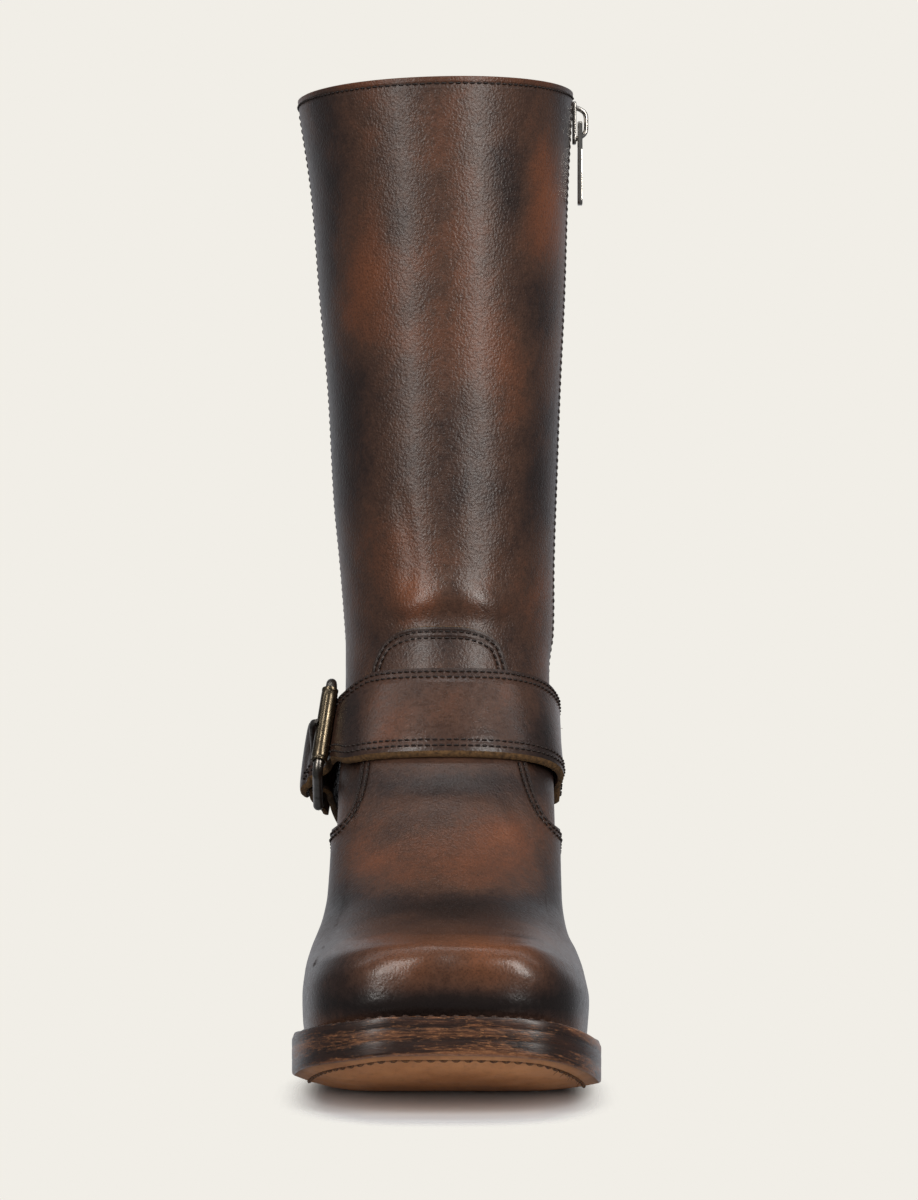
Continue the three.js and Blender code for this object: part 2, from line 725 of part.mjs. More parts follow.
function addUpper() {
  const reach = UPPER_WALL + CUT_OVERRUN;
  const slot = toSolid(zipStrip(ZIP_SLOT, ZIP_BOTTOM, topLevel + UPPER_WALL, -reach, CUT_OVERRUN));
  add('upper', toGeometry(skin(-UPPER_WALL, 0).subtract(slot)), leather);
}

// An overlay's outline, as a thick patch that the boot's skin is cut with.
function patch(edge, centre, end, columns) {
  const upAt = curve(edge, 'across', (row) => row.up);
  const grid = (distance) =>
    Array.from({ length: PATCH_ROWS + 1 }, (_, row) =>
      Array.from({ length: 2 * columns + 1 }, (__, i) => {
        const across = (end * (i - columns)) / columns;
        const top = upAt(Math.abs(across)) * INSTEP_HEIGHT;
        const p = offsetPoint(centre + across / 2, (top * row) / PATCH_ROWS, distance);
        if (row === 0) p.z -= OUTSOLE_THICKNESS;
        return p;
      }),
    );
  return toSolid(slab(grid(GAP + 4 * OVERLAY), grid(-2 * OVERLAY)));
}

function addOverlays() {
  const reach = levels.findIndex((level) => level > VAMP_EDGE[0].up * INSTEP_HEIGHT + 2 * OVERLAY);
  const cover = skin(GAP, GAP + OVERLAY, reach + 1);
  const seamShare = (2 * GAP) / turnLength(0);
  const vamp = cover.intersect(patch(VAMP_EDGE, 0.5, SIDE_SEAM - seamShare, VAMP_COLUMNS));
  const counter = cover.intersect(patch(COUNTER_EDGE, 0, 1 - SIDE_SEAM - seamShare, COUNTER_COLUMNS));
  add('vamp', toGeometry(vamp), leather);
  add('counter', toGeometry(counter), leather);
}

// Strap

const levelFor = (u, z) => {
  let low = 0;
  let high = topLevel;
  for (let i = 0; i < 18; i += 1) {
    const middle = (low + high) / 2;
    if (surface(u, middle).z < z) low = middle;
    else high = middle;
  }
  return (low + high) / 2;
};
const strapFront = surface(0.5, levelFor(0.5, STRAP_HEIGHT)).y;

// Past the bar the strap's end stays level (a tail fall of nought), and the chape falls.
function strapHeight(y, tailFall) {
  const run = Math.min(y, BAR_Y) - strapFront;
  const fall = run * (STRAP_FALL + STRAP_FALL_GROWTH * run);
  return STRAP_HEIGHT - fall - tailFall * Math.max(0, y - BAR_Y);
}

// The strap's middle line on the boot's outside.
function strapLine(u, tailFall = 0) {
  let level = levelFor(u, STRAP_HEIGHT);
  for (let i = 0; i < 3; i += 1) level = levelFor(u, strapHeight(surface(u, level).y, tailFall));
  return { p: surface(u, level), level };
}

function strapTurn(y, inner, tailFall = 0) {
  let u = inner ? 0.25 : 0.75;
  for (let i = 0; i < 5; i += 1) u = turnAt(strapLine(u, tailFall).level, y, inner);
  return u;
}

// How far the strap's lower and upper edges stand off the boot.
function clearanceAt(x, y) {
  const side = ease((y - strapFront) / (STRAP_SIDE_Y - strapFront));
  const seated = ease((y - BAR_Y) / (CHAPE_SEATED_Y - BAR_Y));
  const low = x > 0 ? SEWN_BOTTOM_CLEARANCE : mix(BUCKLED_BOTTOM_CLEARANCE, ANCHOR_CLEARANCE, seated);
  const high = x > 0 ? SEWN_TOP_CLEARANCE : mix(BUCKLED_TOP_CLEARANCE, ANCHOR_CLEARANCE, seated);
  return [mix(STRAP_CLEARANCE, low, side), mix(STRAP_CLEARANCE, high, side)];
}

// The band's place at a turn: its middle on the inner face, and its long, cross and outward ways.
function bandAt(u, tailFall = 0) {
  const { p, level } = strapLine(u, tailFall);
  const long = strapLine(u + NUDGE_U, tailFall).p.sub(strapLine(u - NUDGE_U, tailFall).p).normalize();
  const round = surface(u + NUDGE_U, level).sub(surface(u - NUDGE_U, level)).normalize();
  const cross = normalAt(u, level).cross(long).normalize();
  if (cross.z < 0) cross.negate();
  const clearances = clearanceAt(p.x, p.y);
  const edges = [-0.5, 0.5].map((side, i) => {
    const reach = side * STRAP_WIDTH;
    const turn = u + (cross.dot(round) * reach) / turnLength(level);
    return offsetPoint(turn, levelFor(turn, p.z + cross.z * reach), clearances[i]);
  });
  const middle = edges[0].clone().lerp(edges[1], 0.5);
  const up = edges[1].sub(edges[0]);
  up.addScaledVector(long, -up.dot(long)).normalize();
  const out = up.clone().cross(long).normalize();
  if (out.dot(normalAt(u, level)) < 0) out.negate();
  const stand = middle.clone().sub(p).dot(out);
  middle.addScaledVector(out, Math.max(0, (clearances[0] + clearances[1]) / 2 - stand));
  return { middle, long, up, out };
}

// A band of leather through stations, each with a half width and a height off its inner face.
function band(stations, thickness) {
  const edgePoint = ({ place, half, rise }, side, extra) => {
    const edge = place.middle.clone().addScaledVector(place.up, side * half);
    return edge.addScaledVector(place.out, rise + extra);
  };
  const grid = (extra) =>
    [-1, 1].map((side) => stations.map((station) => edgePoint(station, side, extra)));
  return toSolid(slab(grid(thickness), grid(0)));
}

// The buckle's own frame: its origin is the middle of the bar, x runs back from the roller to the
// bar, y down the bar and z outwards.
const rollerPlace = bandAt(strapTurn(ROLLER_Y, false));
const barPlace = bandAt(strapTurn(BAR_Y, false));
const rollerRise = STRAP_THICKNESS + GAP + ROLLER_RADIUS;
const barRise = CHAPE_THICKNESS + GAP + BUCKLE_WIRE;
const rollerCentre = rollerPlace.middle.clone().addScaledVector(rollerPlace.out, rollerRise);
const barCentre = barPlace.middle.clone().addScaledVector(barPlace.out, barRise);
const buckleLength = rollerCentre.distanceTo(barCentre);
const buckleBack = barCentre.clone().sub(rollerCentre).normalize();
const buckleDown = rollerPlace.up.clone().add(barPlace.up).negate();
buckleDown.addScaledVector(buckleBack, -buckleDown.dot(buckleBack)).normalize();
const buckleOut = buckleBack.clone().cross(buckleDown);
const buckleFrame = new THREE.Matrix4()
  .makeBasis(buckleBack, buckleDown, buckleOut)
  .setPosition(barCentre);
const buckleUp = buckleDown.clone().negate();
const armReach = ROLLER_LENGTH / 2 + GAP + BUCKLE_CORNER;
const prongRoom = PRONG_WIDTH / 2 + PRONG_ROOM;
const foldInside = BUCKLE_WIRE + GAP;
const foldOutside = foldInside + CHAPE_THICKNESS;
const billetRise = barRise + foldOutside + 2 * GAP;

// A box placed in the buckle's frame.
function buckleBox(x, y, z) {
  const box = new THREE.BoxGeometry(x[1] - x[0], y[1] - y[0], z[1] - z[0]);
  box.translate((x[0] + x[1]) / 2, (y[0] + y[1]) / 2, (z[0] + z[1]) / 2);
  return toSolid(box, buckleFrame);
}

// The band lines up with the buckle's bars where it runs through and past them.
function squaredTo(place, up, amount) {
  const turned = place.up.clone().lerp(up, amount);
  turned.addScaledVector(place.long, -turned.dot(place.long)).normalize();
  const out = turned.clone().cross(place.long).normalize();
  if (out.dot(place.out) < 0) out.negate();
  return { ...place, up: turned, out };
}

function addStrap() {
  const start = strapTurn(STRAP_START_Y, true);
  const end = strapTurn(BILLET_END_Y, false);
  const squareFrom = strapFront + SQUARING_START;
  const riseFrom = ROLLER_Y + BILLET_RISE_START;
  const stations = Array.from({ length: STRAP_STEPS + 1 }, (_, i) => {
    const place = bandAt(mix(start, end, i / STRAP_STEPS));
    const { x, y } = place.middle;
    const squared = x < 0 ? ease((y - squareFrom) / (ROLLER_Y - SQUARING_END - squareFrom)) : 0;
    const rising = x < 0 ? ease((y - riseFrom) / (BAR_Y - BILLET_RISE_END - riseFrom)) : 0;
    const half = mix(STRAP_WIDTH, BILLET_WIDTH, squared) / 2;
    return { place: squaredTo(place, buckleUp, squared), half, rise: rising * billetRise };
  });
  const slot = buckleBox(
    [-PRONG_SLOT_START, -CUT_OVERRUN],
    [-prongRoom, prongRoom],
    [-2 * STRAP_THICKNESS, billetRise],
  );
  add('strap', toGeometry(band(stations, STRAP_THICKNESS).subtract(slot)), leather);
}

// The chape's inner leaf runs back along the boot; it folds round the bar and returns on top.
function addChape() {
  const fold = foldInside + CHAPE_THICKNESS / 2;
  const out = barPlace.out.clone();
  out.addScaledVector(buckleDown, -out.dot(buckleDown)).normalize();
  const back = buckleDown.clone().cross(out);
  const station = (x, z) => {
    const middle = barCentre.clone().addScaledVector(back, x).addScaledVector(out, z);
    return { middle, up: buckleUp };
  };
  const stations = [];
  const seat = GAP - foldInside + CHAPE_THICKNESS / 2;
  for (let i = 0; i < LEAF_STEPS; i += 1) {
    const t = i / LEAF_STEPS;
    stations.push(station(CHAPE_RETURN * (1 - t), mix(seat, fold, ease(t * RETURN_RISE))));
  }
  for (let i = 0; i <= FOLD_STEPS; i += 1) {
    const angle = Math.PI * (0.5 + i / FOLD_STEPS);
    stations.push(station(fold * Math.cos(angle), fold * Math.sin(angle)));
  }
  const start = strapTurn(BAR_Y, false);
  const end = strapTurn(CHAPE_END_Y, false, CHAPE_FALL);
  for (let i = 1; i <= LEAF_STEPS; i += 1) {
    const t = i / LEAF_STEPS;
    const place = squaredTo(bandAt(mix(start, end, t), CHAPE_FALL), buckleUp, 1 - ease(t));
    const middle = place.middle.clone().addScaledVector(place.out, CHAPE_THICKNESS / 2);
    stations.push({ middle, up: place.up });
  }
  stations.forEach((here, i) => {
    const before = stations[Math.max(0, i - 1)].middle;
    const after = stations[Math.min(stations.length - 1, i + 1)].middle;
    here.face = after.clone().sub(before).cross(here.up).normalize();
  });
  const grid = (side) =>
    [-0.5, 0.5].map((edge) =>
      stations.map(({ middle, up, face }) =>
        middle
          .clone()
          .addScaledVector(up, edge * CHAPE_WIDTH)
          .addScaledVector(face, (side * CHAPE_THICKNESS) / 2),
      ),
    );
  const slot = buckleBox(
    [-foldOutside - CUT_OVERRUN, foldOutside],
    [-prongRoom, prongRoom],
    [-foldOutside, foldOutside + CUT_OVERRUN],
  );
  add('chape', toGeometry(toSolid(slab(grid(1), grid(-1))).subtract(slot)), leather);
}

function addBuckle() {
  const corners = [
    [-buckleLength, -1],
    [0, -1],
    [0, 1],
    [-buckleLength, 1],
  ];
  const ring = corners.flatMap(([x, side], i) =>
    Array.from({ length: CORNER_STEPS + 1 }, (_, k) => {
      const angle = (Math.PI / 2) * (i + 2 + k / CORNER_STEPS);
      const inX = x === 0 ? -BUCKLE_CORNER : BUCKLE_CORNER;
      const centreX = x + inX;
      const centreY = side * (armReach - BUCKLE_CORNER);
      return vec(
        centreX + BUCKLE_CORNER * Math.cos(angle),
        centreY + BUCKLE_CORNER * Math.sin(angle),
        0,
      ).applyMatrix4(buckleFrame);
    }),
  );
  add('buckle_frame', wireRing(ring, buckleOut, BUCKLE_WIRE, WIRE_SIDES), steel);

  const bore = BUCKLE_WIRE + ROLLER_BORE_ROOM;
  const half = ROLLER_LENGTH / 2;
  const profile = [
    [bore, -half],
    [ROLLER_RADIUS, -half],
    [ROLLER_RADIUS, half],
    [bore, half],
    [bore, -half],
  ].map(([r, y]) => new THREE.Vector2(r, y));
  const roller = new THREE.LatheGeometry(profile, 2 * WIRE_SIDES).translate(-buckleLength, 0, 0);
  add('buckle_roller', toGeometry(toSolid(roller, buckleFrame)), steel);

  // The prong's side outline: an eye round the bar and an arm that rests on the roller.
  const eye = foldInside + PRONG_EYE_WALL;
  const rest = ROLLER_RADIUS + GAP;
  const tip = -buckleLength - PRONG_OVERRUN;
  const outline = [];
  for (let i = 0; i <= EYE_STEPS; i += 1) {
    const angle = Math.PI * (1 + (1.5 * i) / EYE_STEPS);
    outline.push([eye * Math.cos(angle), eye * Math.sin(angle)]);
  }
  outline.push([-buckleLength, rest + PRONG_THICKNESS]);
  outline.push([tip, rest + PRONG_TIP], [tip, rest - PRONG_TIP], [-buckleLength, rest]);
  const sideways = new THREE.Matrix4().makeBasis(vec(1, 0, 0), vec(0, 0, 1), vec(0, -1, 0));
  const placed = buckleFrame.clone().multiply(sideways);
  const body = prism(outline, -PRONG_WIDTH / 2, PRONG_WIDTH / 2, placed);
  const boreOutline = Array.from({ length: EYE_STEPS }, (_, i) => {
    const angle = (2 * Math.PI * i) / EYE_STEPS;
    return [foldInside * Math.cos(angle), foldInside * Math.sin(angle)];
  });
  const bar = prism(boreOutline, -PRONG_WIDTH, PRONG_WIDTH, placed);
  add('buckle_prong', toGeometry(body.subtract(bar)), steel);
}

function addZip() {
  const tapeOut = -UPPER_WALL - GAP;
  const tapeIn = tapeOut - ZIP_TAPE_THICKNESS;
  const top = topLevel - ZIP_TAPE_MARGIN;
  const bottom = ZIP_BOTTOM - ZIP_TAPE_MARGIN;
  const strip = zipStrip(ZIP_TAPE_WIDTH, bottom, top, tapeIn - CUT_OVERRUN, tapeOut + CUT_OVERRUN);
  add('zip_tape', toGeometry(skin(tapeIn, tapeOut).intersect(toSolid(strip))), tape);
  const chainOut = ZIP_CHAIN_THICKNESS - UPPER_WALL;
  add('zip_teeth', zipStrip(ZIP_CHAIN_WIDTH, ZIP_BOTTOM + GAP, top, -UPPER_WALL, chainOut), steel);

  // The slider's frame: x outwards from the boot, z up, with the pull's axis along y.
  const level = topLevel - SLIDER_DROP;
  const seat = surface(zipTurn(level), level);
  const half = SLIDER_LENGTH / 2;
  const face = GAP + SLIDER_THICKNESS;
  const plateShape = [
    [-SLIDER_WIDTH / 2, half],
    [(-SLIDER_WIDTH * SLIDER_TAPER) / 2, -half],
    [(SLIDER_WIDTH * SLIDER_TAPER) / 2, -half],
    [SLIDER_WIDTH / 2, half],
  ];
  const outwards = new THREE.Matrix4()
    .makeBasis(vec(0, 1, 0), vec(0, 0, 1), vec(1, 0, 0))
    .setPosition(seat);
  const plateSolid = prism(plateShape, GAP, face, outwards);
  const bridgeHalf = BRIDGE_LENGTH / 2;
  const bevel = BRIDGE_REACH / 3;
  const archSide = (reach, length) => [
    [face - GAP, -length],
    [reach - bevel, -length],
    [reach, bevel - length],
    [reach, length - bevel],
    [reach - bevel, length],
    [face - GAP, length],
  ];
  const outer = archSide(BRIDGE_REACH, bridgeHalf);
  const inner = archSide(BRIDGE_REACH - BRIDGE_WIRE, bridgeHalf - BRIDGE_WIRE).reverse();
  const upright = new THREE.Matrix4()
    .makeBasis(vec(1, 0, 0), vec(0, 0, 1), vec(0, -1, 0))
    .setPosition(seat);
  const bridge = prism([...outer, ...inner], -BRIDGE_WIDTH / 2, BRIDGE_WIDTH / 2, upright);
  add('zip_slider', toGeometry(plateSolid.add(bridge)), steel);

  // The pull hangs from a crossbar inside the bridge, which passes through its window.
  const hinge = (face + BRIDGE_REACH - BRIDGE_WIRE) / 2;
  const width = PULL_WIDTH / 2;
  const foot = PULL_RIM / 2 - PULL_LENGTH;
  const tab = [
    [-width, -PULL_RIM],
    [-width + PULL_RIM, PULL_RIM / 2],
    [width - PULL_RIM, PULL_RIM / 2],
    [width, -PULL_RIM],
    [width, foot + PULL_RIM],
    [width - PULL_RIM, foot],
    [-width + PULL_RIM, foot],
    [-width, foot + PULL_RIM],
  ].reverse();
  const hung = outwards.clone().multiply(new THREE.Matrix4().makeTranslation(0, 0, hinge));
  const flat = prism(tab, -PULL_THICKNESS / 2, PULL_THICKNESS / 2, hung);
  const windowHalf = width - PULL_RIM;
  const opening = [
    [-windowHalf, -PULL_RIM / 2],
    [-windowHalf, -PULL_RIM / 2 - PULL_WINDOW],
    [windowHalf, -PULL_RIM / 2 - PULL_WINDOW],
    [windowHalf, -PULL_RIM / 2],
  ];
  const hole = prism(opening, -PULL_THICKNESS, PULL_THICKNESS, hung);
  add('zip_pull', toGeometry(flat.subtract(hole)), steel);
}

addSole();
addHeel();
addUpper();
addOverlays();
addStrap();
addChape();
addBuckle();
addZip();

export default boot;
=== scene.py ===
# The looks of the right-foot buckle boot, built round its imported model.
# Lengths below are in millimetres until a mesh is made. +Z is up and the toe points to -Y.
import json
import math

import bpy
import numpy as np
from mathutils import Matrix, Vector, kdtree

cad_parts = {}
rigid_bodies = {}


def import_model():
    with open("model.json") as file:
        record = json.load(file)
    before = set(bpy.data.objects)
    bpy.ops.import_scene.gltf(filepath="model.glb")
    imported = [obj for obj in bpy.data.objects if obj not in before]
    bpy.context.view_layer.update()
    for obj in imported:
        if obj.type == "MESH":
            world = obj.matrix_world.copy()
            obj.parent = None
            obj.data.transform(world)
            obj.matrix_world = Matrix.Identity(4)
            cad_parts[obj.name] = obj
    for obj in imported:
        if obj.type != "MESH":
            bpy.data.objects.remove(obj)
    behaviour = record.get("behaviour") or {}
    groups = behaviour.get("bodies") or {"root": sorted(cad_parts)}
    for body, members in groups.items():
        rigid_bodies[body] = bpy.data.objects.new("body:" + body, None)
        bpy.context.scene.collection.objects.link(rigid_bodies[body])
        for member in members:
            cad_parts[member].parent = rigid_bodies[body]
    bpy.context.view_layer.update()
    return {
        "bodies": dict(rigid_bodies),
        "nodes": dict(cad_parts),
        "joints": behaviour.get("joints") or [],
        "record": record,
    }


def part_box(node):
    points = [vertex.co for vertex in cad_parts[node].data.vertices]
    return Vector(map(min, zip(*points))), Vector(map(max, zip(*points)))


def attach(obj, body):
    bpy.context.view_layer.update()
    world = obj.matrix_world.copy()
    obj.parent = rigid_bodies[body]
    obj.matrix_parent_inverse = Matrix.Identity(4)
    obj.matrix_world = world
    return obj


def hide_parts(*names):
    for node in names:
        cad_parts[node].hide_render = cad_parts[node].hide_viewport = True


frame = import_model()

# The photograph's camera, in pixels of its 918 x 1200 frame and in millimetres
FOCAL = 4144.0
CENTRE_X = 447.0
CENTRE_Y = 600.0
CAMERA_Y = -1560.0
CAMERA_Z = 164.2

# The form, as in the solids
FOOT_LENGTH = 272.0
HEEL_BACK = 30.0
BALL_WIDTH = 92.0
INSTEP = 100.0
SHAFT_RISE = 200.4
TOP = INSTEP + SHAFT_RISE
COLLAR_WIDTH = 103.0
COLLAR_DEPTH = 132.0
SHAFT_CENTRE = -8.0
COLLAR_TILT = 0.03
WALL = 2.4
OVERLAY = 1.6
GAP = 0.3
HEEL_HEIGHT = 36.4
SEAT_SLOPE = 0.06
TOE_SPRING = 21.0
SPRING_POWER = 1.6
CROWN = (3.4, 1.8)
CROWN_FLAT = 0.56
OUTSOLE = 4.8
MIDSOLE = 3.6
WELT = 3.6
STACK = OUTSOLE + MIDSOLE + WELT + 2 * GAP
EXTENSIONS = {"toe": 6.8, "ball": 7.2, "waist": 4.0, "heel": 3.6}
TREAD_FRONT = 0.74
TREAD_BACK = 0.65
BREAST = 0.255
BALL = 0.7
WAIST = 0.385
SEAT = 0.13
TAIL = 0.2
TOP_PIECE = 6.5
LIFT = 6.0
LIFTS = 4
HEEL_TAPER = 0.07
BREAST_LEAN = 0.08

# up, toe, nose, ball outer and inner, waist outer and inner, seat, heel, square, round
FOOT = np.array([
    (0.0, 0.991, 0.7, 0.485, 0.482, 0.375, 0.32, 0.33, 0.0, 3.3, 2.3),
    (0.07, 1.0, 0.7, 0.502, 0.49, 0.395, 0.345, 0.355, 0.014, 3.2, 2.3),
    (0.14, 1.0, 0.695, 0.505, 0.496, 0.415, 0.375, 0.37, 0.022, 3.1, 2.3),
    (0.2, 0.988, 0.68, 0.498, 0.482, 0.425, 0.39, 0.378, 0.025, 2.9, 2.3),
    (0.25, 0.947, 0.65, 0.48, 0.458, 0.428, 0.4, 0.383, 0.025, 2.7, 2.3),
    (0.285, 0.897, 0.62, 0.462, 0.432, 0.426, 0.414, 0.386, 0.025, 2.55, 2.3),
    (0.315, 0.846, 0.585, 0.448, 0.42, 0.424, 0.415, 0.387, 0.025, 2.45, 2.3),
    (0.345, 0.79, 0.545, 0.436, 0.412, 0.424, 0.416, 0.388, 0.025, 2.35, 2.3),
    (0.398, 0.7, 0.48, 0.43, 0.406, 0.424, 0.417, 0.389, 0.023, 2.25, 2.3),
    (0.494, 0.588, 0.39, 0.424, 0.412, 0.422, 0.416, 0.39, 0.019, 2.15, 2.25),
    (0.6, 0.495, 0.31, 0.42, 0.415, 0.42, 0.416, 0.394, 0.013, 2.1, 2.2),
    (0.74, 0.423, 0.25, 0.414, 0.418, 0.414, 0.418, 0.4, 0.0125, 2.05, 2.15),
    (0.88, 0.392, 0.215, 0.41, 0.422, 0.41, 0.422, 0.405, 0.0165, 2.05, 2.1),
])
# up, front, back, half, lean
SHAFT = np.array([
    (0.0, 0.49, 0.33, 0.375, 0.008),
    (0.13, 0.474, 0.338, 0.387, 0.0),
    (0.25, 0.47, 0.354, 0.402, -0.007),
    (0.45, 0.47, 0.39, 0.42, -0.01),
    (0.63, 0.476, 0.425, 0.444, -0.017),
    (0.82, 0.487, 0.462, 0.465, -0.026),
    (1.0, 0.5, 0.5, 0.5, -0.042),
])
VAMP_EDGE = np.array([
    (0.0, 1.03), (0.05, 1.028), (0.095, 1.014), (0.14, 0.975), (0.168, 0.905), (0.178, 0.84),
    (0.186, 0.7), (0.193, 0.58), (0.205, 0.52), (0.233, 0.485), (0.28, 0.46), (0.34, 0.435),
    (0.44, 0.375), (0.56, 0.325), (0.68, 0.3), (0.8, 0.29),
])
COUNTER_EDGE = np.array([(0.0, 0.62), (0.06, 0.605), (0.12, 0.53), (0.17, 0.4), (0.2, 0.32)])
SIDE_SEAM = 0.8


def along(share):
    return HEEL_BACK - share * FOOT_LENGTH


def ease(t):
    t = np.clip(t, 0, 1)
    return t * t * (3 - 2 * t)


def mix(a, b, t):
    return a + (b - a) * t


def unit(v):
    v = np.asarray(v, float)
    return v / np.maximum(np.linalg.norm(v, axis=-1, keepdims=True), 1e-9)


def run_along(line):
    """The way gone along a line at each of its points."""
    return np.concatenate([[0], np.cumsum(np.linalg.norm(np.diff(line, axis=0), axis=1))])


def read_line(values, run, at):
    """A line's values where a given way along it has been gone."""
    return np.stack([np.interp(at, run, column) for column in np.asarray(values).T], axis=-1)


def circle(count):
    return 2 * np.pi * np.arange(count) / count
def curve(x, y):
    """A smooth curve through points that never overshoots between them."""
    x = np.asarray(x, float)
    y = np.asarray(y, float)
    rise = np.diff(y) / np.diff(x)
    slope = np.concatenate([rise[:1], rise])
    a, b = rise[:-1], rise[1:]
    total = np.where(np.abs(a + b) < 1e-12, 1, a + b)
    slope[1:-1] = np.where(a * b <= 0, 0, 2 * a * b / total)

    def at(v):
        v = np.clip(v, x[0], x[-1])
        i = np.clip(np.searchsorted(x, v, side="right") - 1, 0, len(rise) - 1)
        step = x[i + 1] - x[i]
        t = (v - x[i]) / step
        start = y[i] * (1 + 2 * t) * (1 - t) ** 2 + y[i + 1] * t * t * (3 - 2 * t)
        return start + step * (slope[i] * t * (1 - t) ** 2 - slope[i + 1] * t * t * (1 - t))

    return at


TREAD_FRONT_Y = along(TREAD_FRONT)
TREAD_BACK_Y = along(TREAD_BACK)
BREAST_Y = along(BREAST)
TOE_END = along(1) - EXTENSIONS["toe"]


def bottom_at(y):
    y = np.asarray(y, float)
    spring = TOE_SPRING * np.clip((TREAD_FRONT_Y - y) / (TREAD_FRONT_Y - TOE_END), 0, 2) ** SPRING_POWER
    run = BREAST_Y - TREAD_BACK_Y
    t = np.clip((y - TREAD_BACK_Y) / run, 0, 1)
    arch = HEEL_HEIGHT * ease(t) + SEAT_SLOPE * run * t * t * (t - 1)
    seat = HEEL_HEIGHT + SEAT_SLOPE * (y - BREAST_Y)
    return np.where(y < TREAD_FRONT_Y, spring, np.where(y >= BREAST_Y, seat, arch))


def crown_at(x, y):
    forward = 1 - ease((y - along(BALL)) / (along(WAIST) - along(BALL)))
    beyond = np.maximum(0, np.abs(x) / (BALL_WIDTH / 2) - CROWN_FLAT) / (1 - CROWN_FLAT)
    return np.where(x < 0, CROWN[0], CROWN[1]) * forward * beyond ** 2


def underside_at(x, y):
    return bottom_at(y) + crown_at(x, y)


SEAT_LEVEL = float(bottom_at(0.0)) + STACK


def section_table():
    foot_levels = FOOT[:, 0] * INSTEP
    shaft_levels = INSTEP + SHAFT[:, 0] * SHAFT_RISE
    front = SHAFT_CENTRE - SHAFT[:, 1] * COLLAR_DEPTH
    back = SHAFT_CENTRE + SHAFT[:, 2] * COLLAR_DEPTH
    half = SHAFT[:, 3] * COLLAR_WIDTH
    none = np.zeros(len(FOOT))
    columns = {
        "front": (along(FOOT[:, 1]), front),
        "back": (HEEL_BACK + FOOT[:, 8] * FOOT_LENGTH, back),
        "nose": (along(FOOT[:, 2]), (front + back) / 2),
        "tail": (none + along(TAIL), (front + back) / 2),
        "ball0": (FOOT[:, 3] * BALL_WIDTH, half),
        "ball1": (FOOT[:, 4] * BALL_WIDTH, half),
        "waist0": (FOOT[:, 5] * BALL_WIDTH, half),
        "waist1": (FOOT[:, 6] * BALL_WIDTH, half),
        "seat": (FOOT[:, 7] * BALL_WIDTH, half),
        "lean": (none, SHAFT[:, 4] * COLLAR_WIDTH),
        "square": (FOOT[:, 9], 0 * half + 2.05),
        "round": (FOOT[:, 10], 0 * half + 2.1),
    }
    levels = np.concatenate([foot_levels, shaft_levels])
    return {name: curve(levels, np.concatenate(parts)) for name, parts in columns.items()}


SECTION = section_table()


def rounding(t, power):
    return (1 - np.clip(t, 0, 1) ** power) ** (1 / power)


def half_width(level, y, side):
    at = {name: float(read(level)) for name, read in SECTION.items()}
    ball, waist = at[f"ball{side}"], at[f"waist{side}"]
    ball_y, waist_y = along(BALL), along(WAIST)
    fore = mix(ball, waist, ease((y - ball_y) / (waist_y - ball_y)))
    rear = mix(waist, at["seat"], ease((y - waist_y) / (along(SEAT) - waist_y)))
    base = np.where(y < waist_y, fore, rear)
    nose = rounding((at["nose"] - y) / (at["nose"] - at["front"]), at["square"])
    tail = rounding((y - at["tail"]) / (at["back"] - at["tail"]), at["round"])
    return base * nose * tail


def outline_row(level, turns):
    """Points of one section at the given turns: 0 heel, 0.25 inner side, 0.5 toe, 0.75 outer side."""
    front, back, lean = (float(SECTION[k](level)) for k in ("front", "back", "lean"))
    y = mix(back, front, (1 - np.cos(np.pi * np.linspace(0, 1, 181))) / 2)
    row = np.zeros((len(turns), 2))
    length = 0
    for side, sign in ((1, 1), (0, -1)):
        x = lean + sign * half_width(level, y, side)
        run = run_along(np.stack([x, y], axis=1))
        length += run[-1]
        mine = turns <= 0.5 if side == 1 else turns > 0.5
        share = np.where(side == 1, turns * 2, (1 - turns) * 2)[mine]
        row[mine, 0] = np.interp(share * run[-1], run, x)
        row[mine, 1] = np.interp(share * run[-1], run, y)
    return row, length


TURNS = 800
LEVELS = np.concatenate([np.arange(0, 46, 0.3), np.arange(46, TOP - 0.4, 0.9), [TOP]])


def build_form():
    turns = np.arange(TURNS) / TURNS
    rows = np.zeros((len(LEVELS), TURNS, 3))
    lengths = np.zeros(len(LEVELS))
    lean_top = float(SECTION["lean"](TOP))
    for i, level in enumerate(LEVELS):
        flat, lengths[i] = outline_row(level, turns)
        x, y = flat.T
        lift = mix(underside_at(x, y) + STACK, SEAT_LEVEL, ease(level / INSTEP))
        tilt = COLLAR_TILT * (x - lean_top) * (level / TOP) ** 3
        rows[i] = np.stack([x, y, level + lift + tilt], axis=1)
    return rows, lengths


def form_normals(form):
    across = np.roll(form, -1, axis=1) - np.roll(form, 1, axis=1)
    upward = np.empty_like(form)
    upward[1:-1] = form[2:] - form[:-2]
    upward[0] = form[1] - form[0]
    upward[-1] = form[-1] - form[-2]
    return unit(np.cross(upward, across))


def photo_place(points):
    """Where points fall in the photograph, in its pixels."""
    depth = points[..., 1] - CAMERA_Y
    x = CENTRE_X + points[..., 0] * FOCAL / depth
    y = CENTRE_Y - (points[..., 2] - CAMERA_Z) * FOCAL / depth
    return x, y


def facing(normals):
    """One where the form faces the photograph's camera, falling to nought past its edge."""
    return ease((0.15 - normals[..., 1]) / 0.4)


